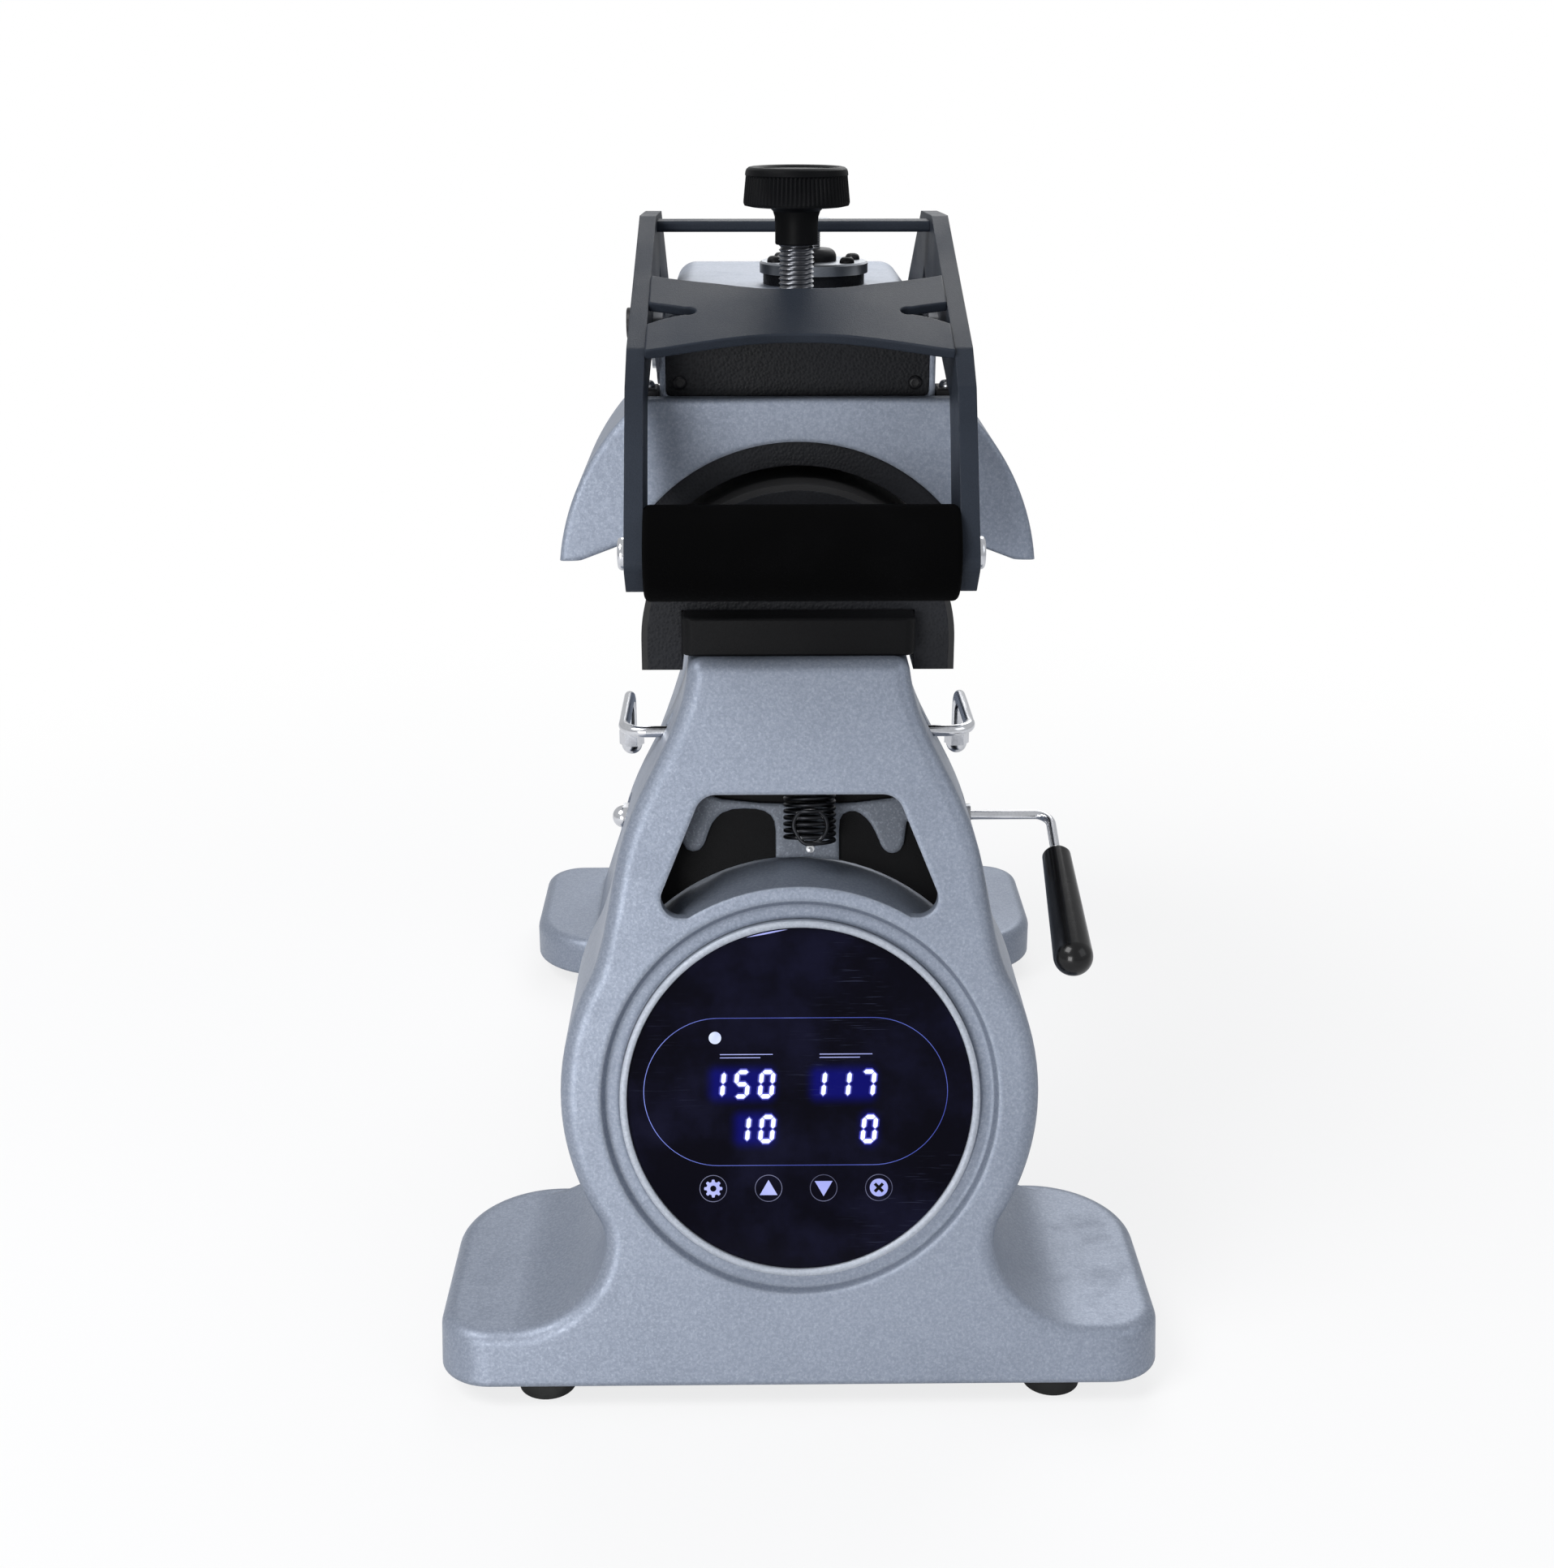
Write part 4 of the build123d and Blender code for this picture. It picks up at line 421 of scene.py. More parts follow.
def printed_glass():
    material, shader, place = start("printed_glass")
    split = place.node("ShaderNodeVectorMath", {"operation": "SUBTRACT"}, {0: place, 1: display_centre})
    x = split.node("ShaderNodeVectorMath", {"operation": "DOT_PRODUCT"}, {0: split, 1: across}, 1)
    y = split.node("ShaderNodeVectorMath", {"operation": "DOT_PRODUCT"}, {0: split, 1: upslope}, 1)
    haze = None
    for text, right, level in digit_rows:
        one = haze_of(x, y, right, level, len(text))
        haze = one if haze is None else haze + one
    smears = grain(place, 24, 5, 0.6).smooth(0.40, 0.7)
    wiped = grain(place, 18, 2).smooth(0.50, 0.66)
    scratches = grain(stretched(place, 60, 1900, 1900), 1.0, 2).smooth(0.62, 0.74) * wiped
    tone = smears.blend(rgb(0.0022, 0.0020, 0.0052), rgb(0.0054, 0.0054, 0.0165))
    tone = (scratches * 0.5).blend(tone, rgb(0.035, 0.040, 0.075))
    glow = haze.clamped().blend(rgb(0.0, 0.0, 0.0), rgb(0.0012, 0.0018, 0.135))
    feed(shader, Base_Color=tone, Roughness=smears * 0.10 + scratches * 0.12 + 0.06,
         Specular_IOR_Level=0.05,
         Emission_Color=glow, Emission_Strength=1.0,
         Normal=raised(scratches, 0.15, 0.00001))
    return material


paints["display_glass"] = printed_glass()
print("glass with haze round", [row[0] for row in digit_rows])

# %% [markdown]
# ## Dressing the solids
# The record gives every node a slot, and every slot has a finish here. The solids
# themselves stay as they are, and the edges' line of light comes from their finishes.
# The ring round the glass has the castings' paint too, painted lighter as a painted highlight on the ring.
# %% Finishes onto nodes
slot_of = {part["node"]: part["material_slot"] for part in frame["record"]["subparts"]}
# a lighter copy of the casting paint: a painted highlight on the bezel ring
bezel_highlight_paint = casting_paint("ring_painted_highlight", (0.30, 0.33, 0.385), (0.46, 0.49, 0.55))
own_finish = {"bezel_ring": bezel_highlight_paint}
for node, solid in nodes.items():
    paint = own_finish.get(node, paints[slot_of[node]])
    if not solid.data.materials:
        solid.data.materials.append(None)
    for place in solid.material_slots:
        place.link = "OBJECT"
        place.material = paint
print("dressed", len(slot_of), "nodes in", len(set(slot_of.values())), "finishes")

# %% [markdown]
# ## How pieces are made
# Most small pieces on a machine are turned or punched. A turned piece is a profile of
# radius against height, carried round an axis. A flat mark is an outline given a little
# thickness. Two helpers cover both, and a third places a piece, colours it and tells
# the frame which body carries it.
# %% Piece helpers
def axis_frame(origin, axis):
    """The matrix that stands a piece made along Z on the origin, along the axis."""
    turn = Vector((0, 0, 1)).rotation_difference(Vector(axis).normalized())
    return Matrix.Translation(Vector(origin)) @ turn.to_matrix().to_4x4()


def rings_to_mesh(mesh, rings):
    """Join rings of points, each ring with the same count, into a closed skin."""
    rows = [[mesh.verts.new(point) for point in ring] for ring in rings]
    count = len(rows[0])
    for low, high in zip(rows, rows[1:]):
        for i in range(count):
            j = (i + 1) % count
            mesh.faces.new((low[i], low[j], high[j], high[i]))
    mesh.faces.new(rows[0][::-1])
    mesh.faces.new(rows[-1])


def circle(radius, height, count, wave=None):
    """A ring of points; wave changes the radius with the angle."""
    ring = []
    for i in range(count):
        angle = 2 * pi * i / count
        r = radius + (wave(angle) if wave else 0.0)
        ring.append((r * cos(angle), r * sin(angle), height))
    return ring


def piece(name, mesh, body, slot, smooth=True, finish=None, angle=35):
    """Finish a mesh: colour it, smooth it and let it ride."""
    bmesh.ops.recalc_face_normals(mesh, faces=mesh.faces)
    data = bpy.data.meshes.new(name)
    for face in mesh.faces:
        face.smooth = smooth
    for edge in mesh.edges:
        edge.smooth = not (edge.is_manifold and edge.calc_face_angle(0) > radians(angle))
    mesh.to_mesh(data)
    mesh.free()
    made = bpy.data.objects.new(name, data)
    bpy.context.scene.collection.objects.link(made)
    data.materials.append(finish or paints[slot])
    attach(made, body)
    return made


def turned(name, profile, origin, axis, body, slot, count=48, finish=None):
    """A piece turned from (radius, height) pairs."""
    mesh = bmesh.new()
    rings_to_mesh(mesh, [circle(r, z, count) for r, z in profile])
    mesh.transform(axis_frame(origin, axis))
    return piece(name, mesh, body, slot, finish=finish)


print("piece helpers are ready")

# %% [markdown]
# ## The knob
# The knob is moulded with a fine flute all round, which gives the fingers grip, and a
# plain hub under it. The flute is a wave on the radius, so the knob is one turned
# skin. It fades out at the rims, as the mould's does.
# %% Fluted knob
stud_axis = Vector((0, -0.1455, 0))
knob_flutes, flute_depth = 72, 0.0007
knob_count = knob_flutes * 6


def flute(share):
    return lambda angle: -flute_depth * share * (0.5 + 0.5 * cos(knob_flutes * angle)) ** 1.5


knob_rings = [
    (0.0097, 0.5752, 0), (0.0106, 0.5752, 0), (0.0110, 0.5758, 0), (0.0110, 0.5850, 0),
    (0.0113, 0.5890, 0), (0.0122, 0.5918, 0), (0.0142, 0.5936, 0), (0.0240, 0.5940, 0),
    (0.0268, 0.5946, 0), (0.0273, 0.5958, 0.3), (0.0273, 0.5968, 1), (0.0267, 0.6030, 1),
    (0.0261, 0.6086, 1), (0.0261, 0.6092, 0.0), (0.0264, 0.6096, 0), (0.0262, 0.6112, 0),
    (0.0257, 0.6124, 0), (0.0246, 0.6133, 0), (0.0232, 0.6136, 0), (0.0218, 0.6132, 0),
    (0.0206, 0.6122, 0), (0.0120, 0.6120, 0), (0.0010, 0.6120, 0),
]
mesh = bmesh.new()
rings_to_mesh(mesh, [circle(r, z, knob_count, flute(share)) for r, z, share in knob_rings])
mesh.transform(Matrix.Translation(stud_axis))
knob = piece("knob_fluted", mesh, "screw", "knob_plastic", angle=28)
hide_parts("pressure_knob")
print("knob with", knob_flutes, "flutes,", len(knob.data.vertices), "points")

# %% [markdown]
# ## Screw threads
# A thread is one ridge wound up a rod. Cut level by level, the ridge's crest stands at
# an angle that turns once for each pitch of height. So a ring of points at each
# level, with the radius set by how far each point is from the crest, gives a true helix.
# %% Threaded rods
def threaded(name, origin, radius, low, high, pitch, depth, body, slot, plain, count=40, finish=None):
    """A rod threaded from low to high, with a plain top of the given length."""
    levels_to_pitch = 6
    levels = int((high - plain - low) / pitch * levels_to_pitch)
    rings = [circle(radius - depth - 0.0004, low, count)]
    for k in range(levels + 1):
        z = low + 0.0004 + k * pitch / levels_to_pitch
        if z > high - plain:
            break
        fade = min(1.0, (z - low) / pitch, (high - plain - z) / pitch + 0.05)

        def ridge(angle, z=z, fade=fade):
            turn = ((z / pitch) - angle / (2 * pi)) % 1.0
            return -depth * (1 - abs(2 * turn - 1)) ** 0.8 * fade

        rings.append(circle(radius, z, count, ridge))
    rings += [circle(radius, high - plain * 0.9 - 0.0004, count), circle(radius, high - 0.0005, count),
              circle(radius - 0.0005, high, count)]
    mesh = bmesh.new()
    rings_to_mesh(mesh, rings)
    mesh.transform(Matrix.Translation(origin))
    return piece(name, mesh, body, slot, angle=50, finish=finish)


oiled_steel = bare_metal("oiled_steel", (0.16, 0.165, 0.18), (0.05, 0.052, 0.06), 0.30, ringed)
stud_low, stud_high, stud_plain = 0.4963, 0.599, 0.012
stud = threaded("stud_threaded", stud_axis, 0.0093, stud_low, stud_high, 0.0024, 0.0013, "screw",
                "turned_steel", stud_plain, finish=oiled_steel)
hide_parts("pressure_stud")
keeper_axis = Vector((0.0125, -0.027, 0))
rod_low, keeper_cap, keeper_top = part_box("keeper_rod")[0].z, 0.577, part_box("keeper_rod")[1].z
keeper = threaded("keeper_threaded", keeper_axis, 0.0038, rod_low, keeper_cap + 0.001, 0.0012, 0.0004, "arm",
                  "turned_steel", 0.001, 28, oiled_steel)
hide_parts("keeper_rod")
turned("keeper_cap", [(0.0030, -0.0002), (0.0092, 0.0), (0.0100, 0.0006), (0.0100, 0.0020), (0.0096, 0.0027),
                      (0.0088, keeper_top - keeper_cap), (0.0010, keeper_top - keeper_cap)],
       keeper_axis + Vector((0, 0, keeper_cap)), (0, 0, 1), "arm", "turned_steel")
print("threads:", stud.name, len(stud.data.vertices), "points")

# %% [markdown]
# ## Springs
# A wire wound into a coil is a curve with a round section. Points on a helix, with a
# hook loop at each end, make the curve, which is then turned into a mesh.
# %% Tension spring
def wire(name, points, radius, slot):
    """A round wire through points, as a mesh that no body carries yet."""
    line = bpy.data.curves.new(name + "_line", "CURVE")
    line.dimensions, line.bevel_depth, line.bevel_resolution = "3D", radius, 4
    line.use_fill_caps = True
    path = line.splines.new("NURBS")
    path.points.add(len(points) - 1)
    for point, place in zip(path.points, points):
        point.co = (*place, 1)
    path.order_u, path.use_endpoint_u, path.resolution_u = 4, True, 4
    draft = bpy.data.objects.new(name + "_draft", line)
    data = bpy.data.meshes.new_from_object(draft)
    bpy.data.objects.remove(draft)
    bpy.data.curves.remove(line)
    data.name = name
    for face in data.polygons:
        face.use_smooth = True
    data.materials.clear()
    data.materials.append(paints[slot])
    made = bpy.data.objects.new(name, data)
    bpy.context.scene.collection.objects.link(made)
    return made


def loop_points(level, radius, start, end, count):
    """Points of a hook loop, standing in the plane of the spring's axis."""
    turns = [radians(start + (end - start) * k / count) for k in range(count + 1)]
    return [Vector((radius * cos(a), 0, level + radius * sin(a))) for a in turns]


coil_radius, coil_pitch, coil_turns, coil_wire = 0.0129, 0.00335, 13, 0.0011
coil_low, loop_high, loop_high_radius = -0.0125, 0.0386, 0.007
hook_radius, hook_forward, hook_level = 0.0088, -0.0118, -0.0030
hook = [Vector((hook_radius * cos(radians(a)), hook_forward, hook_level + hook_radius * sin(radians(a))))
        for a in range(-110, 200, 15)]
coil_steps, coil_start = 20, -2.2
coil_angles = [2 * pi * k / coil_steps + coil_start for k in range(coil_turns * coil_steps + 8)]
coil = [Vector((coil_radius * cos(coil_angles[k]), coil_radius * sin(coil_angles[k]),
                coil_low + coil_pitch * k / coil_steps)) for k in range(1, len(coil_angles))]
shape = hook + coil + loop_points(loop_high, loop_high_radius, 6, 230, 14)
spring_x = 0.0058
spring_foot = Vector((spring_x, -0.2355, 0.293))
lean_back = Matrix.Rotation(-lean, 3, "X")
spring_line = [spring_foot + lean_back @ point for point in shape]
spring = wire("tension_spring_wound", spring_line, coil_wire, "spring_steel")
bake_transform(spring)
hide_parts("tension_spring")
print("spring of", coil_turns, "turns,", len(spring.data.vertices), "points")

# %% [markdown]
# ## Plates cut to an outline
# The bracket behind the window and the cross plate of the lever are laser-cut sheet, so
# one closed outline and a thickness say all there is. A small bevel then breaks the cut
# edges. An outline that is the same on both sides is given from its right half.
# %% Cut plates
def cut_plate(name, outline, place, thickness, body, slot, bevel=0.0004):
    """A plate with this outline; place turns x, y and a height into the machine's frame."""
    mesh = bmesh.new()
    rows = [[mesh.verts.new(place(x, y, z)) for x, y in outline] for z in (-thickness, 0.0)]
    for i in range(len(outline)):
        j = (i + 1) % len(outline)
        mesh.faces.new((rows[0][i], rows[0][j], rows[1][j], rows[1][i]))
    mesh.faces.new(rows[0][::-1])
    mesh.faces.new(rows[1])
    made = piece(name, mesh, body, slot)
    edge = made.modifiers.new("cut_edge", "BEVEL")
    edge.width, edge.segments, edge.limit_method, edge.angle_limit = bevel, 2, "ANGLE", radians(50)
    return made


def mirrored_outline(half):
    """An outline from its right half, given from the bottom up."""
    return half + [(-x, y) for x, y in reversed(half)]


def millimetres(points):
    return [(x / 1000, y / 1000) for x, y in points]


face_foot = Vector((0, front, foot_top))


def behind_face(depth):
    """Places x across and y up the face's slope, at a depth behind it."""
    return lambda x, y, z: face_foot + across * x + upslope * y + outward * (z - depth)


print("plates are cut with", cut_plate.__name__)

# %% [markdown]
# Behind the window hangs a grey bracket with two rounded fingers and a post, which
# carries the spring's hook. A black panel closes the inside behind it, cut out round
# the drum that holds the display. It is cut wide, so its black also stands for the
# shade inside the casting above the bracket: partly a real panel, partly painted shade.
# %% Window bracket and panel
bracket_depth, bracket_thickness = 0.036, 0.003
bracket_outline = millimetres([
    (-71, 306), (-71, 291), (-62.5, 291), (-61.5, 284), (-60.5, 279.5), (-58.5, 276.6), (-55.4, 275.6),
    (-52.1, 276.4), (-49.8, 279), (-48.6, 281.7), (-47.2, 286), (-45.3, 290.3), (-42.8, 293.6),
    (-39.9, 296.0), (-34.5, 297.9), (-28.4, 298.3), (-22, 298.0), (-17.7, 296.9), (-14.2, 294.6),
    (-12.4, 291.5), (-11.7, 286), (-11.7, 272.0), (5, 272.4), (21.8, 270.6), (21.8, 286), (22.2, 292),
    (23.8, 295.0), (27.2, 296.6), (30.2, 296.6), (32.9, 295.4), (36.2, 292.8), (38.6, 289.9),
    (41, 285.5), (42.9, 281.2), (44.2, 278), (45.8, 275.9), (47.8, 274.6), (50.1, 274.2),
    (52.3, 274.7), (54.1, 275.9), (55.8, 278.9), (56.5, 282.6), (57.5, 291), (71, 291), (71, 306), (58, 306),
    (49, 303.4), (30, 301.2), (5, 300.4), (-20, 301.2), (-40, 303.2), (-49, 306)])
bracket = cut_plate("window_bracket", bracket_outline, behind_face(bracket_depth),
                    bracket_thickness, "frame", "grey_bracket")
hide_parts("pedestal_bracket")
liner_up, liner_radius, liner_turn = 0.161, 0.1115, 34.4
liner_depth, liner_thickness = bracket_depth + 0.0035, 0.001
liner_arc = [(liner_radius * cos(radians(a)), liner_up + liner_radius * sin(radians(a)))
             for a in (liner_turn + (90 - liner_turn) * k / 14 for k in range(14, -1, -1))]
# the panel is cut wide to the cavity, a black sheet where the inside lies in shade: painted shade
liner_half = liner_arc + millimetres([(92, 240), (90, 262), (82, 286), (73, 306)])
liner = cut_plate("liner_and_painted_shade", mirrored_outline(liner_half)[1:], behind_face(liner_depth),
                  liner_thickness, "frame", "black_plate", 0.0002)
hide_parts("pedestal_liner")
print("bracket cut from", len(bracket_outline), "points")

# %% [markdown]
# The cross plate stiffens the lever. A tapered notch at each end saves weight, and its
# front edge is hollowed so that the operator sees the work under it.
# %% Cross plate
notch_x, notch_y, notch_radius = 55.2, 40.4, 4.1
notch_tip = [(notch_x + notch_radius * cos(radians(a)), notch_y + notch_radius * sin(radians(a)))
             for a in range(-70, -291, -20)]
cross_half = ([(0, 14.2), (12, 13.9), (24, 12.3), (37, 9.0), (48, 5.6), (58, 2.2), (66, -0.6), (75, -3.2),
               (75, 26.0), (68, 31.2), (62, 34.6)] + notch_tip
              + [(62, 46.2), (75, 50.0), (75, 82.6), (66, 79.2), (54, 75.8), (42, 73.0), (30, 69.6),
                 (18, 67.0), (8, 66.5), (0, 66.4)])
cross_slope, cross_thickness = radians(18.8), 0.005
cross_up = Vector((0, cos(cross_slope), sin(cross_slope)))
cross_out = Vector((0, -sin(cross_slope), cos(cross_slope)))
cross_foot = Vector((0, -0.230, 0.5315)) + cross_out * cross_thickness / 2
cross_plate = cut_plate("yoke_cross_cut", millimetres(mirrored_outline(cross_half)[:-1]),
                        lambda x, y, z: cross_foot + across * x + cross_up * y + cross_out * z,
                        cross_thickness, "arm", "charcoal_plate", 0.0007)
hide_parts("yoke_cross_plate")
print("cross plate cut from", len(cross_half), "points a side")

# %% [markdown]
# The lower platen sits on a black block with rounded corners. Its outline comes from
# the box of the solid, with a quarter circle walked round each corner.
# %% Platen block
block_low, block_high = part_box("platen_bracket")
block_half, block_corner = 0.0597, 0.006
corners = [(block_half, block_low.y), (block_half, block_high.y),
           (-block_half, block_high.y), (-block_half, block_low.y)]
block_outline = []
for k, (x, y) in enumerate(corners):
    inner = Vector((x - block_corner * (1 if x > 0 else -1),
                    y + block_corner * (1 if k in (0, 3) else -1)))
    for step in range(5):
        angle = -pi / 2 + k * pi / 2 + step * pi / 8
        block_outline.append((inner.x + block_corner * cos(angle), inner.y + block_corner * sin(angle)))
block = cut_plate("platen_block", block_outline, lambda x, y, z: (x, y, block_high.z + z),
                  block_high.z - block_low.z, "frame", "black_plate", 0.0012)
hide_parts("platen_bracket")
print("platen block", round(2 * block_half, 4), "wide")

# %% [markdown]
# The spring's hook hangs on a turned pin in the bracket's post. A small white sleeve on
# the pin's tip has the white of the solid's cap and is kept small to stand for the glint
# there: partly the cap's colour, partly a painted highlight.
# %% Hook pin
pin_up = 0.2790
pin_back = face_foot + across * spring_x + upslope * pin_up - outward * 0.0385
pin_profile = [(0.0016, 0.0), (0.0018, 0.0002), (0.0018, 0.0270), (0.0014, 0.0285), (0.0006, 0.0288)]
pin = turned("hook_pin_turned", pin_profile, pin_back, outward, "frame", "turned_steel", 24)
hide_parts("spring_hook_pin")
# small white tip: the cap's white, kept to the size of the glint as a painted highlight
turned("hook_pin_glint", [(0.0019, 0.0), (0.0021, 0.0003), (0.0021, 0.0035), (0.0012, 0.0040)],
       pin_back + outward * 0.0245 + upslope * 0.0006, outward, "frame", "white_pin", 24)
print("hook pin at", [round(v, 4) for v in pin_back])

# %% [markdown]
# ## Screws
# Every plate is held by socket-head screws. Each head is turned, and its key socket is
# a ring of points pushed out to a hexagon and sunk into the head.
# %% Screw heads
def hexagon(across_flats, height, count):
    """A ring of points on a hexagon."""
    ring = []
    for i in range(count):
        angle = 2 * pi * i / count
        r = across_flats / 2 / cos(angle % (pi / 3) - pi / 6)
        ring.append((r * cos(angle), r * sin(angle), height))
    return ring


def screws(name, places, axis, radius, height, body, slot="turned_steel", domed=False, count=36):
    """Socket screws standing on places, all along one axis, as one piece."""
    mesh = bmesh.new()
    for place in places:
        head = bmesh.new()
        if domed:
            rim = [(1.0, 0.0), (1.0, 0.22), (0.96, 0.45), (0.86, 0.72), (0.70, 0.92), (0.58, 1.0)]
        else:
            rim = [(1.0, 0.0), (1.0, 0.86), (0.97, 0.95), (0.90, 1.0), (0.68, 1.0)]
        rings = [circle(r * radius, h * height, count) for r, h in rim]
        rings += [hexagon(radius, height, count), hexagon(radius * 0.98, height * 0.96, count),
                  hexagon(radius * 0.96, height * 0.40, count), circle(radius * 0.08, height * 0.34, count)]
        rings_to_mesh(head, rings)
        head.transform(axis_frame(place, axis))
        data = bpy.data.meshes.new("head")
        head.to_mesh(data)
        head.free()
        mesh.from_mesh(data)
        bpy.data.meshes.remove(data)
    return piece(name, mesh, body, slot, angle=30)


print("screw heads come from", screws.__name__)

# %% [markdown]
# The screws stand in rows on the plates that they hold: four on the arm's front plate,
# six round the keeper's flange, one big bolt on each side of the lever, four on the
# rear cover, and a pair each on the window bracket and on the head's guides.
# %% Screws in place
plate_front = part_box("arm_front_plate")[0].y
screws("arm_plate_screws", [(x, plate_front, z) for x in (-0.060, 0.060) for z in (0.5095, 0.5340)],
       (0, -1, 0), 0.0036, 0.0018, "arm", "black_plastic", True)
flange_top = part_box("keeper_flange")[1].z
flange_circle = 0.0240
flange_turns = [radians(60 * k + 20) for k in range(6)]
screws("keeper_flange_screws",
       [(keeper_axis.x + flange_circle * cos(a), keeper_axis.y + flange_circle * sin(a), flange_top)
        for a in flange_turns],
       (0, 0, 1), 0.0042, 0.0032, "arm", "black_plastic", True)
bolt_side, bolt_back, bolt_level = 0.084, -0.126, 0.533
for side, name in ((-1, "left"), (1, "right")):
    screws(f"yoke_bolt_{name}", [(side * bolt_side, bolt_back, bolt_level)], (side, 0, 0),
           0.0082, 0.0055, "arm", "black_plastic")
cover_lean = atan2(52, 110)
cover_out = Vector((0, cos(cover_lean), sin(cover_lean)))
cover_up = Vector((0, -sin(cover_lean), cos(cover_lean)))
cover_centre = Vector((0, 0.245, 0.243)) + cover_out * 0.003
screws("rear_cover_screws",
       [cover_centre + across * x + cover_up * y for x in (-0.040, 0.040) for y in (-0.046, 0.046)],
       cover_out, 0.0032, 0.0020, "frame", domed=True)
pad_face = face_foot - outward * bracket_depth
screws("bracket_screws", [pad_face + across * x + upslope * 0.3087 for x in (-0.0655, 0.0655)],
       outward, 0.0032, 0.0022, "frame", domed=True)
screws("guide_screws", [(x, -0.172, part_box("guide_blocks")[1].z) for x in (-0.077, 0.077)],
       (0, 0, 1), 0.0040, 0.0030, "head", domed=True)
screw_bodies = {made["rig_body"] for made in bpy.data.objects if "screws" in made.name}
print("screws stand on", sorted(screw_bodies))

# %% [markdown]
# ## Marks on the glass
# The lit marks are thin flat shapes just above the glass. Each is a closed outline in
# the plane of the glass, given a few hundredths of a millimetre of thickness, and a
# line is the band between two outlines.
# %% Flat marks
mark_thickness = 0.00006


def mark(name, outlines, finish, slot="display_glass", bands=(), level=0.00002):
    """Flat shapes on the glass: filled outlines, and bands between two outlines."""
    mesh = bmesh.new()
    for outline in outlines:
        low = [mesh.verts.new(on_glass(x, y, level)) for x, y in outline]
        high = [mesh.verts.new(on_glass(x, y, level + mark_thickness)) for x, y in outline]
        for i in range(len(low)):
            j = (i + 1) % len(low)
            mesh.faces.new((low[i], low[j], high[j], high[i]))
        mesh.faces.new(low[::-1])
        mesh.faces.new(high)
    for outer, inner in bands:
        rows = [[mesh.verts.new(on_glass(x, y, z)) for x, y in line]
                for line, z in ((outer, level), (outer, level + mark_thickness),
                                (inner, level + mark_thickness), (inner, level))]
        for a, b in zip(rows, rows[1:] + rows[:1]):
            for i in range(len(a)):
                j = (i + 1) % len(a)
                mesh.faces.new((a[i], a[j], b[j], b[i]))
    return piece(name, mesh, "frame", slot, smooth=False, finish=finish)


def round_outline(x, y, radius, count=48, wave=None):
    return [(x + (radius + (wave(2 * pi * i / count) if wave else 0)) * cos(2 * pi * i / count),
             y + (radius + (wave(2 * pi * i / count) if wave else 0)) * sin(2 * pi * i / count))
            for i in range(count)]


def stadium(x, y, half_wide, half_high, count=40):
    """A box with fully rounded ends."""
    flat = half_wide - half_high
    ends = []
    for side, turn in ((1, -pi / 2), (-1, pi / 2)):
        ends += [(x + side * flat + half_high * cos(turn + pi * i / count),
                  y + half_high * sin(turn + pi * i / count)) for i in range(count + 1)]
    return ends


def glowing(name, colour, faint, strength=1.0, sideways=False):
    """Light that shines through print, a little uneven, or stronger at the left."""
    material, shader, place = start(name)
    uneven = grain(place, 55, 3).smooth(0.35, 0.65)
    if sideways:
        side = place.node("ShaderNodeVectorMath", {"operation": "DOT_PRODUCT"}, {0: place, 1: across}, 1)
        uneven = side.smooth(-0.085, -0.045) * 0.75 + uneven * 0.25
    light = uneven.blend(rgb(*colour), rgb(*faint))
    feed(shader, Base_Color=rgb(0.01, 0.01, 0.015), Roughness=0.3,
         Emission_Color=light, Emission_Strength=strength)
    return material


digit_glow = glowing("digit_light", (0.92, 0.94, 1.0), (0.80, 0.85, 1.0), 1.15)
line_glow = glowing("line_light", (0.22, 0.30, 0.95), (0.030, 0.055, 0.42), sideways=True)
icon_glow = glowing("icon_light", (0.46, 0.50, 0.95), (0.36, 0.40, 0.88))
print("marks glow in", digit_glow.name, line_glow.name, icon_glow.name)

# %% [markdown]
# ## Seven-segment digits
# Seven bars draw every figure. Each bar is a long hexagon, so that neighbours meet on a
# slanted gap, and the whole figure leans a little. The light spills into the print
# round a bar, so two fatter, bluer copies lie under the white one.
# %% Digits
lit = {"0": "abcdef", "1": "bc", "5": "acdfg", "7": "abc"}
digit_stroke, digit_gap = 0.0023, 0.0002


def bar(x0, y0, x1, y1, spread):
    """A bar with pointed ends between two points, made fatter by the spread."""
    half = digit_stroke / 2 + spread
    along = Vector((x1 - x0, y1 - y0)).normalized()
    side = Vector((-along.y, along.x))
    a = Vector((x0, y0)) + along * (digit_gap - spread)
    b = Vector((x1, y1)) - along * (digit_gap - spread)
    return [a, a + (along + side) * half, b + (side - along) * half, b, b - (along + side) * half,
            a + (along - side) * half]


def figure(character, x, y, spread=0.0):
    """The bars of one figure centred on x and y."""
    w, h = (digit_wide - digit_stroke) / 2, (digit_high - digit_stroke) / 2
    ends = {"a": (-w, h, w, h), "b": (w, 0, w, h), "c": (w, -h, w, 0), "d": (-w, -h, w, -h),
            "e": (-w, -h, -w, 0), "f": (-w, 0, -w, h), "g": (-w, 0, w, 0)}
    return [[(x + p.x + digit_slant * p.y, y + p.y) for p in bar(*ends[name], spread)]
            for name in lit[character]]


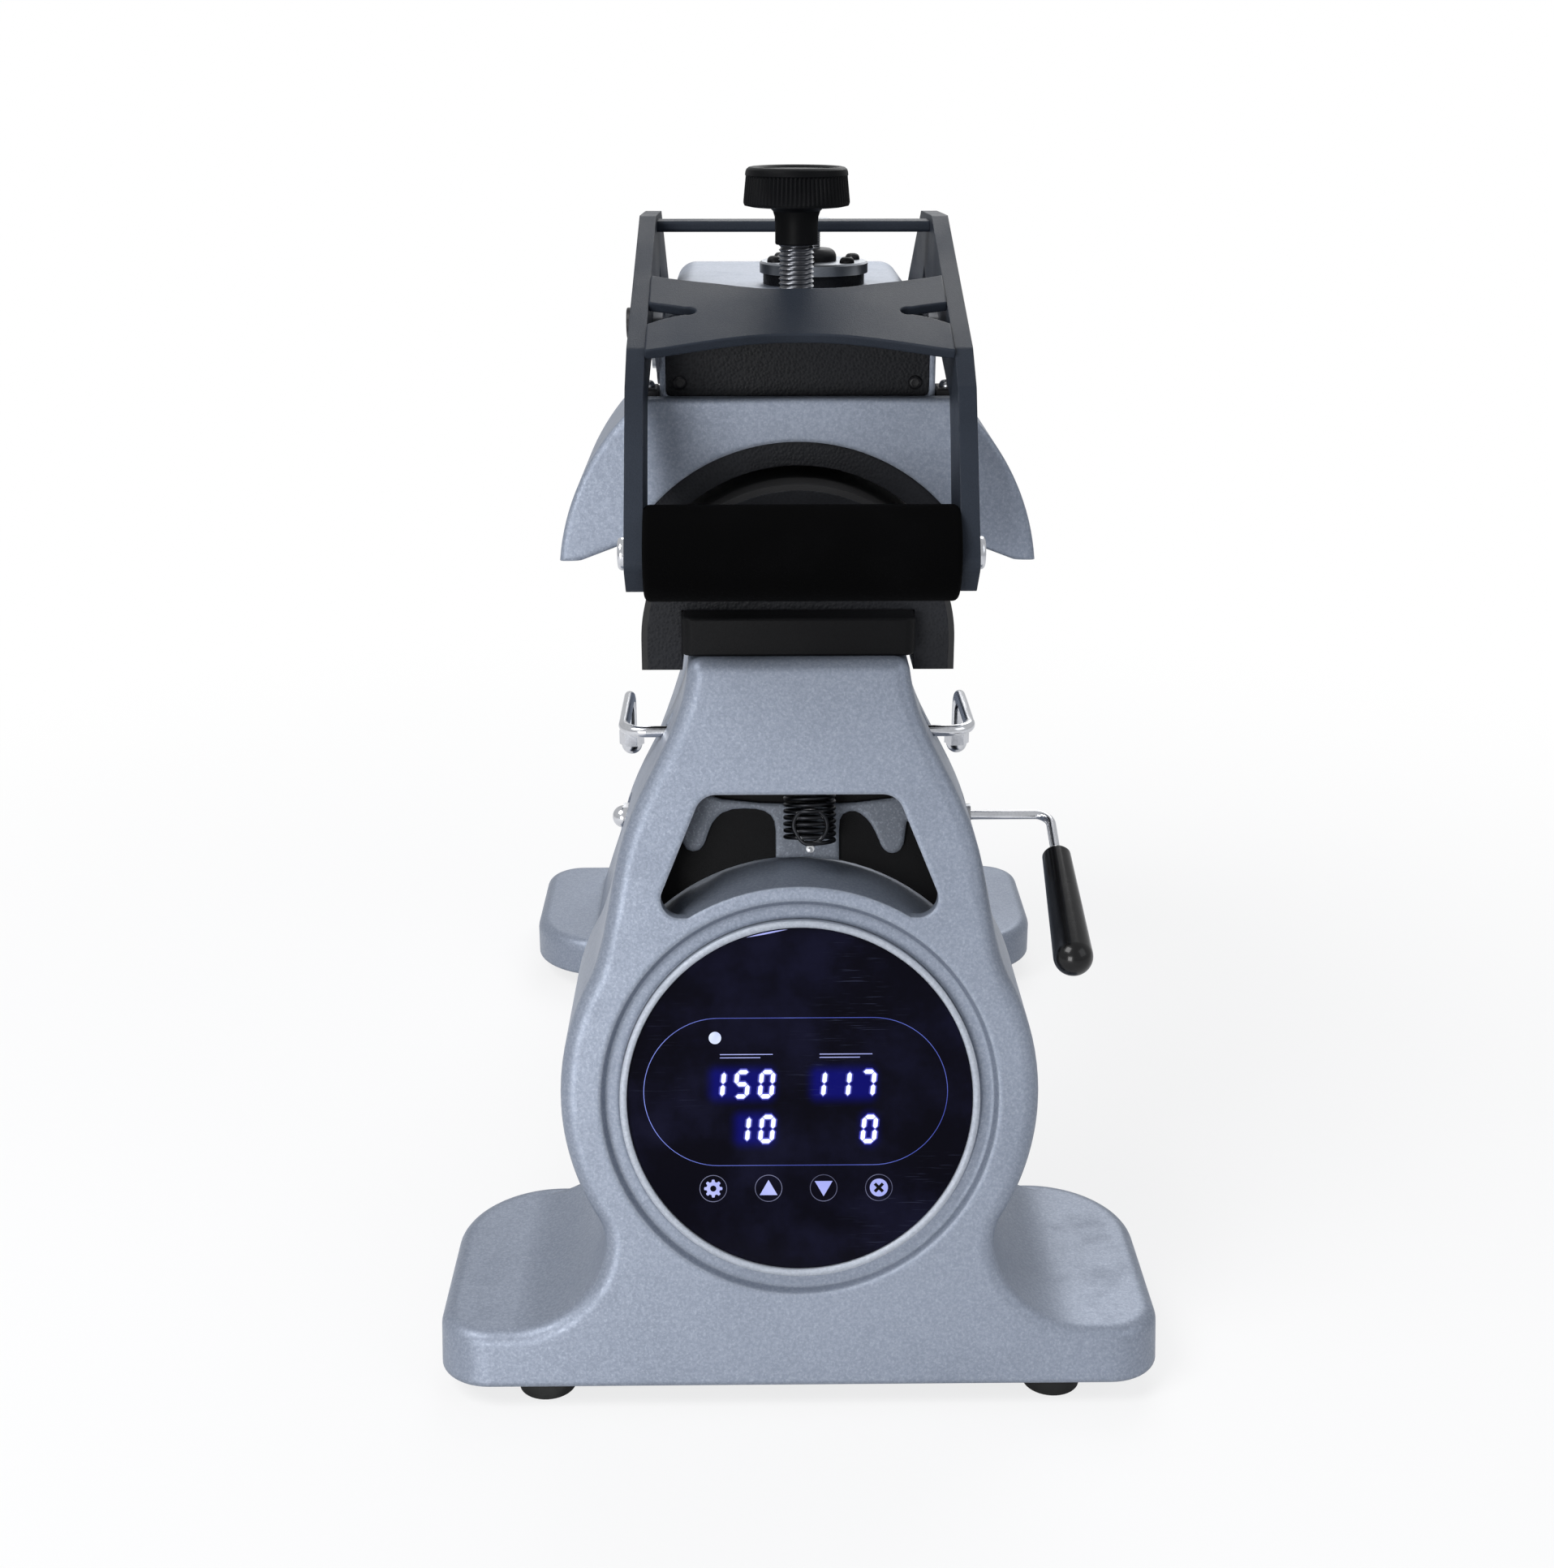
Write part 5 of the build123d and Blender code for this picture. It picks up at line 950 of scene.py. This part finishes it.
halo_glow = glowing("halo_light", (0.004, 0.006, 0.30), (0.002, 0.003, 0.20))
rim_glow = glowing("rim_light", (0.02, 0.03, 0.72), (0.012, 0.02, 0.55))
layers = (("display_halo", 0.00085, halo_glow), ("display_rim", 0.0004, rim_glow),
          ("display_digits", 0.0, digit_glow))
for depth, (name, spread, finish) in enumerate(layers):
    for odd in (0, 1):
        bars = []
        for text, right, row in digit_rows:
            for k, character in enumerate(reversed(text)):
                bars += figure(character, right - k * digit_step, row, spread)[odd::2]
        mark(f"{name}_{odd}", bars, finish, level=0.00002 + 0.00010 * depth + 0.00002 * odd)
print("digits in", len(layers), "layers of light")

# %% [markdown]
# ## Lines, lamp and touch icons
# A thin rounded frame holds the readings, with a pair of rules over each, and a lamp
# shows that the heat is on. Four touch icons sit under the frame: settings, up, down
# and cancel.
# %% Lines and lamp
line = 0.00032
frame_x, frame_y, frame_wide, frame_high = -0.0022, 0.0038, 0.0785, 0.0387
mark("display_frame_line", [], line_glow,
     bands=[(stadium(frame_x, frame_y, frame_wide, frame_high),
             stadium(frame_x, frame_y, frame_wide - line, frame_high - line))])
rules = []
for left in (-0.0412, 0.0101):
    for length, y in ((0.0272, 0.0232), (0.0208, 0.0215)):
        rules.append([(left, y), (left + length, y), (left + length, y + 0.0004), (left, y + 0.0004)])
mark("display_rules", rules, icon_glow)
lamp_glow = glowing("lamp_light", (0.72, 0.80, 1.0), (0.42, 0.50, 0.95))
mark("display_lamp", [round_outline(-0.0437, 0.0321, 0.0032)], lamp_glow)
print("frame line", round(2 * frame_wide, 4), "wide")

# %% [markdown]
# Each touch icon sits in a faint ring. The gear's teeth are a wave on a circle, cut off
# flat at its top and bottom, and the cancel mark's strokes are dark print on a disc.
# %% Touch icons
icon_y, icon_x = -0.0468, (-0.0450, -0.0164, 0.0121, 0.0407)
ring_radius, ring_line, gear_radius, gear_hole = 0.0071, 0.00032, 0.0041, 0.0016
faint_glow = glowing("icon_ring_light", (0.16, 0.17, 0.30), (0.05, 0.055, 0.12))
mark("display_icon_rings", [], faint_glow,
     bands=[(round_outline(x, icon_y, ring_radius), round_outline(x, icon_y, ring_radius - ring_line))
            for x in icon_x])


def teeth(angle):
    return 0.0006 * max(-1.0, min(1.0, 2.4 * cos(8 * angle)))


up = [(-0.0046, -0.0036), (0.0046, -0.0036), (0.0, 0.0044)]
mark("display_icons",
     [[(icon_x[1] + x, icon_y + y) for x, y in up], [(icon_x[2] + x, icon_y - y) for x, y in up[::-1]],
      round_outline(icon_x[3], icon_y, 0.0047)],
     icon_glow,
     bands=[(round_outline(icon_x[0], icon_y, gear_radius, 160, teeth),
             round_outline(icon_x[0], icon_y, gear_hole, 160))])
cross = []
for turn in (pi / 4, -pi / 4):
    corners = ((-0.0030, -0.0008), (0.0030, -0.0008), (0.0030, 0.0008), (-0.0030, 0.0008))
    cross.append([(icon_x[3] + x * cos(turn) - y * sin(turn), icon_y + x * sin(turn) + y * cos(turn))
                  for x, y in corners])
for k, outline in enumerate(cross):
    mark(f"display_cross_{k}", [outline], paints["black_panel"], level=0.00009 + k * 0.00002)
print("icons at", icon_x)

# %% [markdown]
# A sliver of the digits' light runs through the glass and leaves it at the rim. It is a
# crescent: an arc along the rim, closed by one that dips below it in the middle.
# %% Edge light
edge_radius, edge_dip, edge_count = glass_radius - 0.0006, 0.0009, 14
edge_turns = [radians(94 + k) for k in range(edge_count + 1)]
edge_light = [(edge_radius * cos(a), edge_radius * sin(a)) for a in edge_turns]
for k in range(edge_count - 1, 0, -1):
    inner_radius = edge_radius - edge_dip * sin(pi * k / edge_count)
    edge_light.append((inner_radius * cos(edge_turns[k]), inner_radius * sin(edge_turns[k])))
mark("display_edge_light", [edge_light], icon_glow)
print("edge light of", len(edge_light), "points")

# %% [markdown]
# ## Floor and light
# The press stands on a plain pale floor. To the camera it glows nearly white, fully so
# further out, and reflections see it dimmer. Near the machine part of its own shading is
# left in, which carries the shadow.
# %% Floor
floor_mesh = bmesh.new()
bmesh.ops.create_grid(floor_mesh, x_segments=8, y_segments=8, size=14)
floor_data = bpy.data.meshes.new("floor")
floor_mesh.to_mesh(floor_data)
floor_mesh.free()
floor = bpy.data.objects.new("floor", floor_data)
floor.location.z = -0.0002
bpy.context.scene.collection.objects.link(floor)
floor_material, floor_shader, floor_place = start("pale_floor")
tree = floor_material.node_tree
feed(floor_shader, Base_Color=rgb(0.86, 0.86, 0.87), Roughness=0.9, Specular_IOR_Level=0.1)


def seen_rays(tree, mirror_share):
    """1 for rays from the camera or through glass, and mirror_share for reflections."""
    camera_ray = Field(tree).node("ShaderNodeLightPath")
    outputs = camera_ray.socket.node.outputs
    mirrored, through = Field(tree, outputs["Is Glossy Ray"]), Field(tree, outputs["Is Transmission Ray"])
    return (camera_ray + mirrored * mirror_share + through).clamped()


seen = seen_rays(tree, 0.35)
white = Field(tree).node("ShaderNodeEmission", None, {"Color": rgb(1, 1, 1), "Strength": 1.0})
body = Field(tree, floor_shader.outputs[0])
from_middle = floor_place.node("ShaderNodeVectorMath", {"operation": "LENGTH"}, {0: floor_place}, 1)
far = from_middle.smooth(0.35, 1.3) * 0.22 + 0.78
mixed = Field(tree).node("ShaderNodeMixShader", None, {0: seen * far, 1: body, 2: white})
tree.links.new(mixed.socket, tree.nodes["Material Output"].inputs["Surface"])
floor_data.materials.append(floor_material)
print("floor is", floor_material.name)

# %% [markdown]
# The room is white to the camera and half as bright to reflections, and lights the
# machine only with a weak even glow. Four soft lamps do the rest, so that the
# machine's own colours show as they are.
# %% Room and lamps
world = bpy.data.worlds.new("white_room")
bpy.context.scene.world = world
world.use_nodes = True
tree = world.node_tree
tree.nodes.clear()
seen = seen_rays(tree, 0.5)
glow = Field(tree).node("ShaderNodeBackground", None, {"Color": rgb(0.90, 0.94, 1.0), "Strength": 0.30})
white = Field(tree).node("ShaderNodeBackground", None, {"Color": rgb(1, 1, 1), "Strength": 1.0})
room = Field(tree).node("ShaderNodeMixShader", None, {0: seen, 1: glow, 2: white})
ends = tree.nodes.new("ShaderNodeOutputWorld")
tree.links.new(room.socket, ends.inputs["Surface"])


def lamp(name, place, aim, size, power, colour=(1, 1, 1)):
    """A square soft lamp at place, facing aim."""
    light = bpy.data.lights.new(name, "AREA")
    light.shape, light.size, light.energy, light.color = "SQUARE", size, power, colour
    made = bpy.data.objects.new(name, light)
    bpy.context.scene.collection.objects.link(made)
    made.location = place
    made.rotation_euler = (Vector(aim) - Vector(place)).to_track_quat("-Z", "Y").to_euler()
    return made


middle = (0, 0, 0.30)
lamp("key", (-1.3, -1.1, 2.3), middle, 1.3, 42)
lamp("sheen", (-0.8, -2.2, 0.45), (0, -0.3, 0.2), 0.8, 20)
lamp("fill", (1.9, -1.4, 1.6), middle, 1.6, 9, (0.95, 0.97, 1.0))
lamp("back", (0.4, 1.8, 1.9), middle, 1.6, 26)
bpy.context.scene.view_settings.view_transform = "Standard"
print("four lamps and a white room")

# %% [markdown]
# ## Finish
# %% Finish
import json
